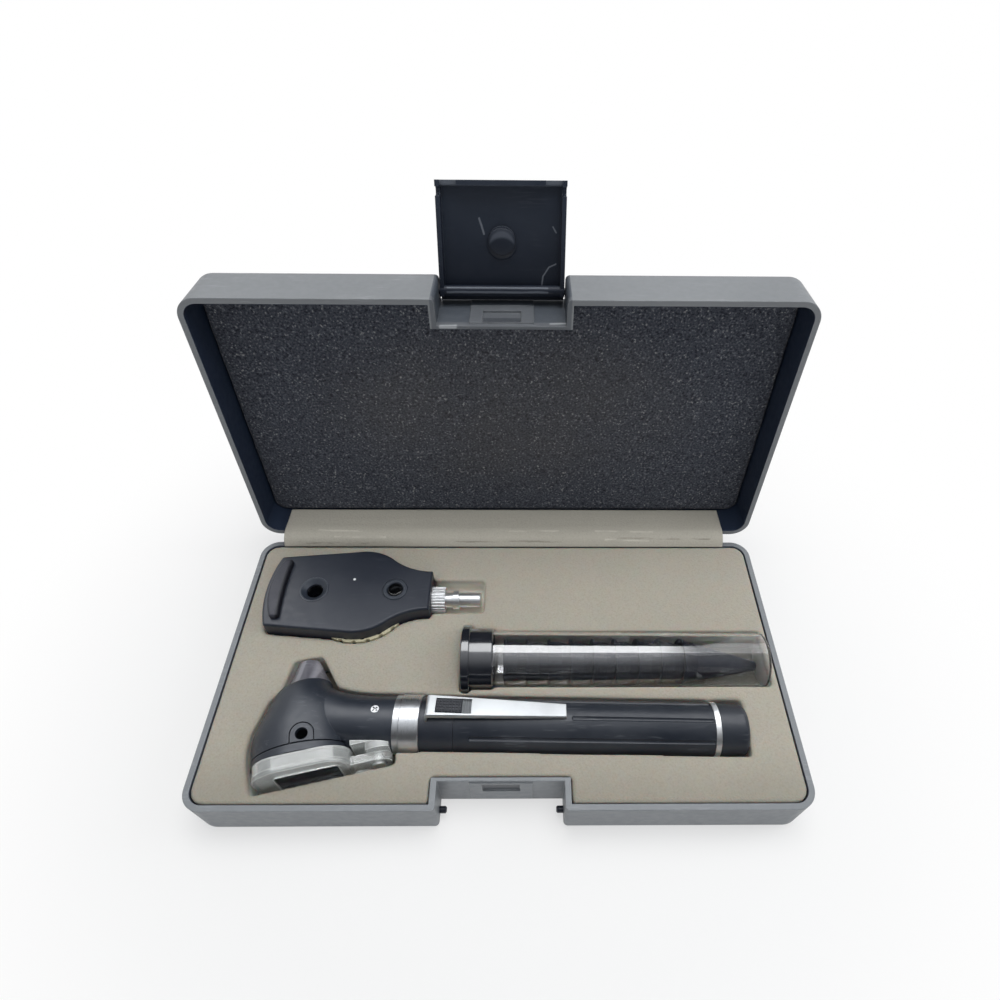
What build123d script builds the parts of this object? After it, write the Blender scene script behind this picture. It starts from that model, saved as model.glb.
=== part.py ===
from build123d import *
import os
from math import cos, radians, sin

# Otoscope carry case: a hinged two-part box that holds a pocket otoscope, an ophthalmoscope head
# and a tube of ear specula in a foam tray. Millimetres, +Z up, +X to the right, +Y to the hinge.
# The origin is the centre of the base's underside. The lid and the latch are drawn as they stand
# in the closed case and are then swung open.

# ---- case halves ---------------------------------------------------------------------------
CASE_WIDTH = 205.0
CASE_DEPTH = 107.0
HALF_HEIGHT = 19.0
WALL = 2.0
FLOOR = 2.0
CORNER_R = 7.0
EDGE_R = 1.8
NOTCH_WIDTH = 42.0
NOTCH_DEPTH = 9.1
NOTCH_BACK = 1.2
NOTCH_MOUTH_R = 1.4
PLATE_WIDTH = 21.0
PLATE_PROUD = 0.4
PLATE_LOW = 2.0
PLATE_HIGH = 17.4
SLOT_WIDTH = 12.6
SLOT_LOW = 9.6
SLOT_HIGH = 16.6
SLOT_CUT = 0.7

# ---- hinge ---------------------------------------------------------------------------------
LID_OPEN = 95.0
HINGE_BACK = 2.4          # hinge axis behind the back wall
HINGE_DROP = 0.4          # hinge axis below the parting plane
HINGE_INSET = 42.5        # centre of each hinge from the side of the case
KNUCKLE_R = 2.3
KNUCKLE_WEB = 4.4
BASE_KNUCKLE = 8.0
LID_KNUCKLE = 10.0
KNUCKLE_GAP = 0.3
HINGE_PIN_R = 0.8
STOP_GAP = 0.05           # between the open lid's web and the stop ledge
STOP_REACH = 6.6
STOP_THICK = 1.4
STOP_ROOT = 5.4

# ---- latch ---------------------------------------------------------------------------------
LATCH_OPEN = 108.0
PIN_SETBACK = 4.5         # latch pivot and catch pins behind the front face
PIN_RISE = 4.0            # the same pins above each half's outer face
PIN_R = 1.15
PIN_REACH = 2.4           # pin standing into the notch
LATCH_GAP = 0.4           # latch to the notch's side walls
LATCH_T = 1.6
LATCH_INSET = 0.2         # latch face behind the case's front face
LATCH_FOOT = 0.8          # foot of the closed latch above the table
LATCH_HEAD = 3.2          # latch above its pivot
FLANGE_T = 1.4
FLANGE_DEPTH = 4.3
LIP_T = 1.6
LIP_SIDE = 3.6
LIP_MIDDLE = 5.6
LIP_MIDDLE_WIDTH = 28.0
LIP_WIDER = 0.2
BARREL_R = 1.9
BARREL_WEB = 1.0
BOSS_R = 4.4
BOSS_HEIGHT = 1.2
BOSS_DROP = 15.5          # boss centre below the pivot
CATCH_CLEAR = 0.15
RUN_GAP = 0.05            # radial gap of every running pin or shaft
FIXED_GAP = 0.02          # radial gap of a pin that is pressed in

# ---- foam ----------------------------------------------------------------------------------
FOAM_GAP = 0.3            # foam to the plastic round it
SHEET_T = 3.6             # sheet under the tray
LID_FOAM_T = 5.0
POCKET_GAP = 0.4          # pocket wall to the piece that lies in it
HEAD_POCKET_GAP = 1.2
FRONT_POCKET_GAP = 2.2    # room in front of the magnifier
PLUG_SLOT_NEAR = 7.1
PLUG_SLOT_FAR = 7.9
SEAT_GAP = 0.3            # under a piece that lies on the foam
FLAP_INSET = 10.0         # flap's ends from the sides of the case
FLAP_T = 0.8
FLAP_X = -0.8
FLAP_BITE = 0.4           # flap clear of the lid foam
FLAP_END_RISE = 3.6       # lid end of the flap above the rim

# ---- ophthalmoscope head -------------------------------------------------------------------
SCOPE_INSET = 45.5        # centre of the lens wheel from the side of the case
SCOPE_Y = 26.1
SCOPE_FOOT = 6.0
SCOPE_SPLIT = 17.8
SCOPE_FACE = 24.5
SCOPE_WALL = 1.8
SCOPE_TOP = 2.2
SCOPE_BULGE_R = 18.8
SCOPE_BULGE_FROM = 100.0
SCOPE_BULGE_TO = 50.0
SCOPE_END_X = 27.9
SCOPE_END_HALF = 8.9
SCOPE_HEAD_X = -33.6
SCOPE_HEAD_HALF = 15.8
SCOPE_HEAD_BOW = 2.8
SCOPE_NECK = (19.6, 10.3)
SCOPE_CORNER_R = 1.3
SCOPE_FACE_R = 1.0
SCOPE_BACK_R = 2.0
WHEEL_R = 19.8
WHEEL_T = 2.0
WHEEL_GAP = 0.2
WHEEL_TEETH = 24
TOOTH_CUT_R = 1.1
TOOTH_CUT_OUT = 0.4
LENS_RING_R = 17.5
LENS_COUNT = 18
LENS_R = 1.5
LENS_T = 1.2
AXLE_R = 1.5
AXLE_BOSS_R = 3.2
EYE_HOLE_R = 3.1
EYE_RING_R = 5.5
EYE_RING_T = 1.3
DIOPTRE_X = 14.0
DIOPTRE_HOLE_R = 3.0
DIOPTRE_RING_R = 4.9
DIOPTRE_DOME_R = 0.9
GLASS_T = 1.0
REST_X = -30.4
REST_HALF = 13.2
REST_WIDTH = 5.0
REST_BOW = 1.6
REST_RISE = 2.2
REST_EASE = 1.6            # outer edge drawn in at its ends
REST_CORNER_R = 1.2
REST_EDGE_R = 1.0
PLUG_Z = 16.8
COLLAR_R = 5.2
COLLAR_LEN = 5.4
COLLAR_TEETH = 26
COLLAR_CUT_R = 0.4
PLUG_NECK_R = 3.0
PLUG_NECK_LEN = 3.0
PLUG_FLANGE_R = 3.7
PLUG_FLANGE_LEN = 2.4
PLUG_TIP_R = 2.9
PLUG_TIP_LEN = 8.7
PLUG_STUB_R = 4.2
PLUG_STUB_LEN = 5.0
LAMP_R = 2.0
LAMP_LEN = 6.0
MIRROR_SIZE = 7.0
MIRROR_T = 1.0
PATIENT_HOLE_R = 4.5
SHELL_SCREW_R = 1.1
SHELL_SCREW_HEAD_R = 2.0
SHELL_SCREW_SUNK = 1.2
SHELL_SCREW_AT = ((-28.0, 11.0), (-28.0, -11.0), (25.0, 7.0), (25.0, -7.0))

# ---- otoscope: handle, along its own axis from the collar to the tail ------------------------
HANDLE_X = -36.4
HANDLE_Y = -24.35
HANDLE_Z = 16.0
HANDLE_YAW = -1.1
COLLAR_BAND_R = 10.1
BAND_LEN = 8.4
BAND_EDGE_R = 0.4
JOINT_LINE = 0.1
NECK_RING_R = 9.8
NECK_RING_LEN = 2.1
NECK_RING_AT = -0.5
HOUSING_R = 9.5
HOUSING_END = 20.0
GRIP_R = 9.4              # at the switch housing
GRIP_TAIL_R = 9.1         # at the tail ring
BARREL_END = 109.0
TAIL_RING_R = 9.35
TAIL_RING_LEN = 1.8
CAP_LEN = 10.1
CAP_R = 8.95
CAP_TIP_R = 8.6
CAP_END_R = 2.0
CAP_WALL = 1.5
SPIGOT_R = 8.0
SPIGOT_LEN = 4.2
BATTERY_R = 7.2
BATTERY_LEN = 50.5
BATTERY_NUB_R = 2.7
BATTERY_NUB = 1.0
BATTERY_EDGE_R = 0.5
BATTERY_FIRST = 10.0
BORE_GAP = 0.25
FLUTES = 8
FLUTE_PHASE = 3.0
FLUTE_R = 0.9
FLUTE_AXIS_R = 9.6
FLUTE_FROM = 26.0
TOP_FLUTE_FROM = 61.0
FLUTE_TO = 108.0
SPRING_WIRE_R = 0.4
SPRING_R = 4.5
SPRING_TURNS = 3
CONTACT_T = 1.2
CONTACT_PIN_R = 1.2

# ---- clip and switch -----------------------------------------------------------------------
CLIP_ROLL = -10.6
CLIP_SLOPE = 2.3          # the clip comes down towards its tip
CLIP_FROM = 10.6
CLIP_TO = 58.4
CLIP_HALF_WIDE = 4.2
CLIP_HALF_TIP = 2.6
CLIP_TOP = 12.4           # at the end over the housing
CLIP_BEND_R = 1.2
CLIP_T = 0.8
CLIP_SIDE = 1.5
CLIP_CHAMFER = 0.3
WINDOW_FROM = 14.0
WINDOW_TO = 26.1
WINDOW_HALF = 2.8
GUIDE_TOP = 11.6
GUIDE_MARGIN = 1.1
SLIDER_TRAVEL = 3.1
SLIDER_GAP = 0.1
SLIDER_TOP = 12.8
GRIP_PITCH = 1.1
GRIP_CUT = 0.22
RIB_PITCH = 0.9
RIB_CUT = 0.3

# ---- otoscope: head, about its own viewing axis ----------------------------------------------
OPTIC_TILT = 13.5         # viewing axis against the square of the handle
OPTIC_X = -34.6
OPTIC_Y = 13.6
NECK_R = 9.4
NECK_WALL = 1.9
NECK_SWEEP = (            # along the handle, height of the sweep from the neck up to the cone
    (-10.5, 9.4), (-15.0, 9.7), (-19.0, 10.3), (-22.0, 11.1), (-25.0, 12.2))
HEAD_SECTIONS = (         # along the view, centre across, half width, half height
    (1.0, 0.4, 7.9, 7.9),
    (4.5, -1.2, 10.9, 9.8),
    (9.0, -1.1, 13.2, 11.1),
    (15.0, -2.1, 15.4, 12.0),
    (20.5, -2.6, 16.1, 12.3),
    (25.0, -2.6, 16.0, 12.2),
)
HEAD_WALL = 1.6
CONE_LEN = 8.3            # tip ahead of the axes' origin
CONE_TIP_R = 4.0
CONE_WALL = 0.9
CONE_FLARE = 2.6
CONE_FLARE_R = 6.1
CONE_KEY = (1.6, 1.4, 3.2)  # notch in the flare, across, along the rim and deep
CONE_KEY_LEAN = 20.0
EYE_RIM_LEN = 2.9
EYE_RIM_IN = 2.8
EYE_RIM_GROOVE = 0.4      # the dark line round the head behind the rim
EYE_RIM_GROOVE_IN = 0.7
PORT_Q = 0.4
PORT_T = 22.5
PORT_R = 2.0
PORT_PLATE_R = 3.6
PORT_GROOVE = 0.35
PORT_SKIN = 0.9
MAGNIFIER_GAP = 0.3
MAGNIFIER_LEN = 5.2
MAGNIFIER_Q = -1.3
MAGNIFIER_WIDTH = 31.8
MAGNIFIER_HEIGHT = 24.0
MAGNIFIER_CORNER = 9.0
MAGNIFIER_FACE = 1.8
MAGNIFIER_WALL = 1.5
MAGNIFIER_EDGE_R = 0.6
LENS_WIDTH = 20.5
LENS_HEIGHT = 13.0
LENS_Q = 0.25
LENS_CORNER = 1.5
LENS_PANE = 1.5
LENS_EDGE_R = 0.5
PIVOT_Q = 23.0
PIVOT_ROOT = 28.0
ARM_T = 2.7
ARM_HALF = 4.4
PIVOT_R = 1.2
PIVOT_HEAD_R = 2.3
PIVOT_HEAD_T = 0.8
PIVOT_HEAD_EDGE_R = 0.3
BRACKET_FROM = 15.0       # the fixed bracket under the neck that carries the pivot
BRACKET_TO = 27.3
BRACKET_HALF = 8.0
BRACKET_BACK = (26.5, 29.2)
BRACKET_STEP = 19.8
NECK_SCREW_X = -7.0
NECK_SCREW_ROLL = -10.6
NECK_SCREW_R = 1.4
NECK_SCREW_SUNK = 1.0
GUIDE_RING_R = 3.0
GUIDE_RING_T = 0.5
FIBRE_R = 1.2
BULB_R = 2.3
BULB_LEN = 9.2
SOCKET_LEN = 5.0

# ---- specula tube --------------------------------------------------------------------------
TUBE_INSET = 5.0          # closed end from the side of the case
TUBE_Y = -0.3
TUBE_Z = 16.7
TUBE_LEN = 110.8
TUBE_R = 10.8
TUBE_END_R = 10.0
TUBE_WALL = 1.0
TUBE_ROUND = 1.3
TUBE_CAP_R = 13.2
TUBE_CAP_LEN = 3.1
TUBE_CAP_END = 2.0
TUBE_CAP_EDGE_R = 0.5
TUBE_SKIRT_R = 11.9
TUBE_SKIRT_LEN = 8.5
SPECULUM_PITCH = 8.2
SPECULUM_FIRST = 13.3     # first rim from the tube's open end
SPECULUM_LEN = 30.0
SPECULUM_RIM_R = 8.3
SPECULUM_RIM_T = 1.0
SPECULUM_COLLAR_R = 7.4
SPECULUM_COLLAR_LEN = 5.0
SPECULUM_CONE_R = 7.0
SPECULUM_TIP_R = 1.75
SPECULUM_WALL = 0.6
SPECULUM_SAG = 0.85       # the nest lies on the bottom of the tube
SPECULUM_DROOPS = (0.0, 0.0, 0.3, 0.8, 1.5, 2.4, 3.4, 4.8, 7.4)

# ---- worked out from the sizes above ---------------------------------------------------------
HINGE_Y = CASE_DEPTH / 2 + HINGE_BACK
HINGE_Z = HALF_HEIGHT - HINGE_DROP
CASE_TOP = 2 * HALF_HEIGHT
FRONT = -CASE_DEPTH / 2
NOTCH_Y = FRONT + NOTCH_DEPTH
PIN_Y = FRONT + PIN_SETBACK
PIVOT_Z = CASE_TOP - PIN_RISE
HINGE_X = CASE_WIDTH / 2 - HINGE_INSET
FLAP_WIDTH = CASE_WIDTH - 2 * FLAP_INSET
SCOPE_X = SCOPE_INSET - CASE_WIDTH / 2
SHEET_TOP = FLOOR + SHEET_T
TRAY_FLOOR = SHEET_TOP
TUBE_X = CASE_WIDTH / 2 - TUBE_INSET - TUBE_LEN
TUBE_BORE = TUBE_R + RUN_GAP
SPECULUM_COUNT = len(SPECULUM_DROOPS)
SLIDER_LEN = WINDOW_TO - WINDOW_FROM - 2 * SLIDER_GAP - SLIDER_TRAVEL
PARTS = "parts"


def block(x0, x1, y0, y1, z0, z1):
    """A box between two corners, in any order."""
    size = (abs(x1 - x0), abs(y1 - y0), abs(z1 - z0))
    return Pos((x0 + x1) / 2, (y0 + y1) / 2, (z0 + z1) / 2) * Box(*size)


def rod(radius, x0, x1, y=0.0, z=0.0):
    """A cylinder along X."""
    upright = Cylinder(radius, x1 - x0, align=(Align.CENTER, Align.CENTER, Align.MIN))
    return Pos(x0, y, z) * Rot(0, 90, 0) * upright


def post(radius, z0, z1, x=0.0, y=0.0):
    """A cylinder along Z."""
    return Pos(x, y, z0) * Cylinder(radius, z1 - z0, align=(Align.CENTER, Align.CENTER, Align.MIN))


def prism(face, z0, z1):
    """A flat outline raised from z0 to z1."""
    return Pos(0, 0, z0) * extrude(face, z1 - z0)


def swing(y, z, angle):
    """A turn about an axis along X through (y, z)."""
    return Pos(0, y, z) * Rot(angle, 0, 0) * Pos(0, -y, -z)


LID_SWING = swing(HINGE_Y, HINGE_Z, -LID_OPEN)
LATCH_SWING = LID_SWING * swing(PIN_Y, PIVOT_Z, -LATCH_OPEN)
HANDLE = Pos(HANDLE_X, HANDLE_Y, HANDLE_Z) * Rot(0, 0, HANDLE_YAW)
CLIP = HANDLE * Rot(CLIP_ROLL, 0, 0)
SLOPE = Pos(CLIP_FROM, 0, CLIP_TOP) * Rot(0, CLIP_SLOPE, 0) * Pos(-CLIP_FROM, 0, -CLIP_TOP)
OPTIC_AXIS = (sin(radians(OPTIC_TILT)), -cos(radians(OPTIC_TILT)), 0)
OPTIC_SIDE = (cos(radians(OPTIC_TILT)), sin(radians(OPTIC_TILT)), 0)
OPTIC_IN_HANDLE = Plane(origin=(OPTIC_X, OPTIC_Y, 0), x_dir=OPTIC_SIDE, z_dir=OPTIC_AXIS).location
OPTIC = HANDLE * OPTIC_IN_HANDLE
SCOPE = Pos(SCOPE_X, SCOPE_Y, 0)
TUBE = Pos(TUBE_X, TUBE_Y, TUBE_Z)


# ---- case ------------------------------------------------------------------------------------
def notch_pins(z):
    """The two short pins that stand out of the notch's side walls."""
    inner = NOTCH_WIDTH / 2 - PIN_REACH
    outer = NOTCH_WIDTH / 2 + WALL
    right = rod(PIN_R, inner, outer, PIN_Y, z)
    right = chamfer(right.edges().group_by(Axis.X)[0], PIN_R / 3)
    return Compound([right, mirror(right, about=Plane.YZ)])


def case_half():
    """One moulded half, rim up: an open tray with the latch notch in its front wall."""
    outer = extrude(RectangleRounded(CASE_WIDTH, CASE_DEPTH, CORNER_R), HALF_HEIGHT)
    outer = fillet(outer.edges().group_by(Axis.Z)[0], EDGE_R)
    hollow = RectangleRounded(CASE_WIDTH - 2 * WALL, CASE_DEPTH - 2 * WALL, CORNER_R - WALL)
    half = outer - prism(hollow, FLOOR, HALF_HEIGHT)
    side = NOTCH_WIDTH / 2
    surround = block(-side - WALL, side + WALL, FRONT, NOTCH_Y + NOTCH_BACK, 0, HALF_HEIGHT)
    half += surround & outer
    half -= block(-side, side, FRONT - WALL, NOTCH_Y, -WALL, HALF_HEIGHT + WALL)
    mouth = half.edges().filter_by(Axis.Z).filter_by_position(Axis.Y, FRONT - 0.1, FRONT + 0.1)
    mouth = mouth.filter_by_position(Axis.X, -side - 0.1, side + 0.1)
    half = fillet(mouth, NOTCH_MOUTH_R)
    plate = block(-PLATE_WIDTH / 2, PLATE_WIDTH / 2, NOTCH_Y - PLATE_PROUD, NOTCH_Y, PLATE_LOW, PLATE_HIGH)
    half += plate
    slot_y = NOTCH_Y - PLATE_PROUD
    half -= block(-SLOT_WIDTH / 2, SLOT_WIDTH / 2, slot_y, slot_y + SLOT_CUT, SLOT_LOW, SLOT_HIGH)
    half -= rod(PIN_R + FIXED_GAP, -side - 2 * WALL, side + 2 * WALL, PIN_Y, PIN_RISE)
    return half


def knuckle(x0, x1, web_from, web_to):
    """A hinge knuckle and the web that joins it to the back wall."""
    body = rod(KNUCKLE_R, x0, x1, HINGE_Y, HINGE_Z)
    body += block(x0, x1, CASE_DEPTH / 2, HINGE_Y + KNUCKLE_R, web_from, web_to)
    return body - rod(HINGE_PIN_R + RUN_GAP, x0 - 1, x1 + 1, HINGE_Y, HINGE_Z)


def hinge_spans(centre):
    """X limits of the base, lid and base knuckles of one hinge."""
    lid = (centre - LID_KNUCKLE / 2, centre + LID_KNUCKLE / 2)
    left = (lid[0] - KNUCKLE_GAP - BASE_KNUCKLE, lid[0] - KNUCKLE_GAP)
    right = (lid[1] + KNUCKLE_GAP, lid[1] + KNUCKLE_GAP + BASE_KNUCKLE)
    return left, lid, right


def stop_ledge(x0, x1):
    """The ledge that the lid's knuckle web comes down on when the lid is open."""
    sweep = radians(LID_OPEN)
    top = HINGE_Z - KNUCKLE_R * sin(sweep) + KNUCKLE_WEB * cos(sweep) - STOP_GAP
    back = CASE_DEPTH / 2
    section = Polygon((back, top), (back + STOP_REACH, top), (back + STOP_REACH, top - STOP_THICK),
                      (back, top - STOP_ROOT), align=None)
    return Pos(x0, 0, 0) * extrude(Plane.YZ * section, x1 - x0)


def base_shell():
    base = case_half()
    for centre in (-HINGE_X, HINGE_X):
        left, lid, right = hinge_spans(centre)
        for x0, x1 in (left, right):
            base += knuckle(x0, x1, HINGE_Z - KNUCKLE_WEB, HINGE_Z)
        base += stop_ledge(*lid)
    return base


def lid_shell():
    lid = mirror(case_half(), about=Plane.XY.offset(HALF_HEIGHT))
    for centre in (-HINGE_X, HINGE_X):
        lid += knuckle(*hinge_spans(centre)[1], HALF_HEIGHT, HINGE_Z + KNUCKLE_WEB)
    return LID_SWING * lid


def hinge_pin(centre):
    left, lid, right = hinge_spans(centre)
    return rod(HINGE_PIN_R, left[0], right[1], HINGE_Y, HINGE_Z)


def latch():
    """The over-centre flap latch, drawn closed and swung open with the lid."""
    half = NOTCH_WIDTH / 2 - LATCH_GAP
    face = FRONT + LATCH_INSET
    inside = face + LATCH_T
    foot = LATCH_FOOT
    head = PIVOT_Z + LATCH_HEAD
    body = block(-half, half, face, inside, foot, head)
    back = PIN_Y + BARREL_R
    for sign in (-1, 1):
        web = sign * (half - FLANGE_T)
        body += block(web, sign * half, face, inside + FLANGE_DEPTH, foot, PIVOT_Z)
        body += block(web, sign * half, face, back, PIVOT_Z, head - LATCH_T)
    side = half + LIP_WIDER
    middle = LIP_MIDDLE_WIDTH / 2
    body += block(-side, side, face, inside + LIP_SIDE - LATCH_T, foot, foot + LIP_T)
    body += block(-middle, middle, face, inside + LIP_MIDDLE - LATCH_T, foot, foot + LIP_T)
    body += rod(BARREL_R, -half, half, PIN_Y, PIVOT_Z)
    body += block(-half, half, inside, PIN_Y, PIVOT_Z - BARREL_WEB, PIVOT_Z + BARREL_WEB)
    boss = Pos(0, inside, PIVOT_Z - BOSS_DROP) * Rot(-90, 0, 0) * Cylinder(
        BOSS_R, BOSS_HEIGHT, align=(Align.CENTER, Align.CENTER, Align.MIN))
    body += boss
    pin_end = NOTCH_WIDTH / 2 - PIN_REACH
    for sign in (-1, 1):
        bore = rod(PIN_R + RUN_GAP, pin_end - RUN_GAP, half + 1, PIN_Y, PIVOT_Z)
        catch = rod(PIN_R + CATCH_CLEAR, pin_end - CATCH_CLEAR, half + 1, PIN_Y, PIN_RISE)
        mouth = block(pin_end - CATCH_CLEAR, half + 1, PIN_Y, inside + FLANGE_DEPTH + 1,
                      PIN_RISE - PIN_R - CATCH_CLEAR, PIN_RISE + PIN_R + CATCH_CLEAR)
        cut = bore + catch + mouth
        body -= cut if sign > 0 else mirror(cut, about=Plane.YZ)
    return LATCH_SWING * body


# ---- foam ------------------------------------------------------------------------------------
def foam_outline():
    """Plan of a foam that fills one case half and goes round the notch."""
    width = CASE_WIDTH - 2 * (WALL + FOAM_GAP)
    depth = CASE_DEPTH - 2 * (WALL + FOAM_GAP)
    plan = RectangleRounded(width, depth, CORNER_R - WALL - FOAM_GAP)
    side = NOTCH_WIDTH / 2 + WALL + FOAM_GAP
    back = NOTCH_Y + NOTCH_BACK + FOAM_GAP
    return plan - Pos(0, (FRONT + back) / 2) * Rectangle(2 * side, back - FRONT)


def handle_pocket(grow):
    """Plan of the otoscope seen from above, in the handle's own axes."""
    tail = BARREL_END + TAIL_RING_LEN + CAP_LEN
    plan = Pos(tail / 2, 0) * Rectangle(tail + 2 * grow, 2 * (HOUSING_R + grow))
    plan += Pos(BAND_LEN / 2, 0) * Rectangle(BAND_LEN + 2 * grow, 2 * (COLLAR_BAND_R + grow))
    plan += Pos(OPTIC_X / 2, 0) * Rectangle(-OPTIC_X, 2 * (NECK_RING_R + grow))
    edge = [(x, rise + 2 * grow) for x, rise in NECK_SWEEP]
    return plan + make_face(Polyline((NECK_SWEEP[0][0], 0), *edge, (NECK_SWEEP[-1][0], 0), close=True))


def head_pocket(grow):
    """Plan of the otoscope's head, in its viewing axes: X across and Y along the view."""
    tip = -CONE_LEN - grow
    base, centre, half, _ = HEAD_SECTIONS[0]
    front = [(centre - CONE_TIP_R - grow, tip), (centre - half - grow, base)]
    back = [(centre + CONE_TIP_R + grow, tip), (centre + half + grow, base)]
    for along, centre, half, _ in HEAD_SECTIONS[1:]:
        front.append((centre - half - grow, along))
        back.append((centre + half + grow, along))
    end = magnifier_start() + MAGNIFIER_LEN + FRONT_POCKET_GAP
    front.append((MAGNIFIER_Q - MAGNIFIER_WIDTH / 2 - grow, end))
    arm_end = PIVOT_Q + ARM_HALF + grow
    back += [(arm_end, HEAD_SECTIONS[-1][0]), (arm_end, end)]
    return make_face(Polyline(*front, *reversed(back), close=True))


def otoscope_pocket(grow, z0, z1):
    """The space that the stored otoscope takes up in the tray, seen straight from above."""
    handle = HANDLE * prism(handle_pocket(grow), z0 - HANDLE_Z, z1 - HANDLE_Z)
    flat_optic = HANDLE * Pos(OPTIC_X, OPTIC_Y) * Rot(0, 0, OPTIC_TILT)
    outline = mirror(head_pocket(HEAD_POCKET_GAP), about=Plane.XZ)
    return handle + flat_optic * prism(outline, z0 - HANDLE_Z, z1 - HANDLE_Z)


def tube_pocket(grow, z0, z1):
    body = block(TUBE_X, TUBE_X + TUBE_LEN + grow, TUBE_Y - TUBE_R - grow, TUBE_Y + TUBE_R + grow, z0, z1)
    return body + skirt_pocket(grow, z0, z1)


def skirt_pocket(grow, z0, z1):
    end = TUBE_X + TUBE_CAP_LEN - TUBE_CAP_END + TUBE_SKIRT_LEN + grow
    return block(TUBE_X, end, TUBE_Y - TUBE_SKIRT_R - grow, TUBE_Y + TUBE_SKIRT_R + grow, z0, z1)


def cap_pocket(grow, z0, z1):
    x0 = TUBE_X - TUBE_CAP_END
    half = TUBE_CAP_R + grow
    return block(x0 - grow, x0 + TUBE_CAP_LEN + grow, TUBE_Y - half, TUBE_Y + half, z0, z1)


def scope_pocket(grow, z0, z1):
    body = prism(offset(scope_outline(), grow), z0, z1)
    body += post(WHEEL_R + grow, z0, z1)
    return SCOPE * body


def plug_pocket(z1):
    start = SCOPE_END_X - 1
    end = SCOPE_END_X + COLLAR_LEN + PLUG_NECK_LEN + PLUG_FLANGE_LEN + PLUG_TIP_LEN + 3 * POCKET_GAP
    floor = PLUG_Z - COLLAR_R - POCKET_GAP
    return SCOPE * block(start, end, -PLUG_SLOT_NEAR, PLUG_SLOT_FAR, floor, z1)


def foam_tray():
    tray = prism(foam_outline(), TRAY_FLOOR, HALF_HEIGHT)
    over = HALF_HEIGHT + 1
    under = TRAY_FLOOR - 1
    tray -= otoscope_pocket(POCKET_GAP, under, over)
    tray -= tube_pocket(POCKET_GAP, under, over)
    tray -= cap_pocket(POCKET_GAP, under, over)
    tray -= scope_pocket(POCKET_GAP, under, over)
    return tray - plug_pocket(over)


def foam_sheet():
    sheet = prism(foam_outline(), FLOOR, SHEET_TOP)
    over = SHEET_TOP + 1
    sheet -= cap_pocket(POCKET_GAP, TUBE_Z - TUBE_CAP_R - SEAT_GAP, over)
    sheet -= skirt_pocket(POCKET_GAP, TUBE_Z - TUBE_SKIRT_R - SEAT_GAP, over)
    head = HANDLE * Pos(OPTIC_X, OPTIC_Y) * Rot(0, 0, OPTIC_TILT)
    outline = mirror(head_pocket(HEAD_POCKET_GAP), about=Plane.XZ)
    floor = HANDLE_Z - HEAD_SECTIONS[-1][3] - SEAT_GAP
    return sheet - head * prism(outline, floor - HANDLE_Z, over - HANDLE_Z)


def lid_foam():
    top = CASE_TOP - FLOOR
    return LID_SWING * prism(foam_outline(), top - LID_FOAM_T, top)


def hinge_flap():
    """The thin strip that covers the hinge gap, from the tray's back edge to the lid foam."""
    tray_back = CASE_DEPTH / 2 - WALL
    rim_y = HINGE_Y - HINGE_BACK * cos(radians(LID_OPEN)) + HINGE_DROP * sin(radians(LID_OPEN))
    crest = HALF_HEIGHT + HINGE_BACK + WALL + FLAP_T
    foam_y = rim_y + HALF_HEIGHT - FLOOR - LID_FOAM_T - FLAP_BITE
    line = [(tray_back, HALF_HEIGHT + 0.1), (CASE_DEPTH / 2, HALF_HEIGHT + 0.7), (rim_y - 0.3, crest - 1.0),
            (rim_y + 1.2, crest - 0.3), (foam_y, HALF_HEIGHT + FLAP_END_RISE)]
    upper = [(y, z + FLAP_T) for y, z in line]
    section = make_face(Polyline(*line, *reversed(upper), close=True))
    return Pos(FLAP_X - FLAP_WIDTH / 2, 0, 0) * extrude(Plane.YZ * section, FLAP_WIDTH)


# ---- ophthalmoscope head, about the centre of its lens wheel ----------------------------------
def scope_outline():
    """Plan of the ophthalmoscope head."""
    def on_bulge(angle):
        return SCOPE_BULGE_R * cos(radians(angle)), SCOPE_BULGE_R * sin(radians(angle))

    def flipped(point):
        return point[0], -point[1]

    corner = (SCOPE_HEAD_X, SCOPE_HEAD_HALF)
    first = on_bulge(SCOPE_BULGE_FROM)
    middle = on_bulge((SCOPE_BULGE_FROM + SCOPE_BULGE_TO) / 2)
    last = on_bulge(SCOPE_BULGE_TO)
    end = (SCOPE_END_X, SCOPE_END_HALF)
    edges = [
        Line(corner, first),
        ThreePointArc(first, middle, last),
        ThreePointArc(last, SCOPE_NECK, end),
        Line(end, flipped(end)),
        ThreePointArc(flipped(end), flipped(SCOPE_NECK), flipped(last)),
        ThreePointArc(flipped(last), flipped(middle), flipped(first)),
        Line(flipped(first), flipped(corner)),
        ThreePointArc(flipped(corner), (SCOPE_HEAD_X - SCOPE_HEAD_BOW, 0), corner),
    ]
    plan = make_face(Curve() + edges)
    return fillet(plan.vertices().group_by(Axis.X)[0], SCOPE_CORNER_R)


def wheel_space():
    """The flat round space between the shells that the lens wheel turns in."""
    low = SCOPE_SPLIT - WHEEL_T / 2 - WHEEL_GAP
    high = SCOPE_SPLIT + WHEEL_T / 2 + WHEEL_GAP
    return post(WHEEL_R + WHEEL_GAP, low, high)


def shell_screws():
    """The four screws that hold the shells together, driven in from below."""
    screws = []
    for x, y in SHELL_SCREW_AT:
        shank = post(SHELL_SCREW_R, SCOPE_FOOT + 1, SCOPE_FACE - SCOPE_TOP, x, y)
        head = post(SHELL_SCREW_HEAD_R, SCOPE_FOOT + 0.2, SCOPE_FOOT + SHELL_SCREW_SUNK, x, y)
        slots = Pos(x, y, SCOPE_FOOT + 0.2) * (Box(2.6, 0.5, 0.8) + Box(0.5, 2.6, 0.8))
        screws.append(shank + head - slots)
    return screws


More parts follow.
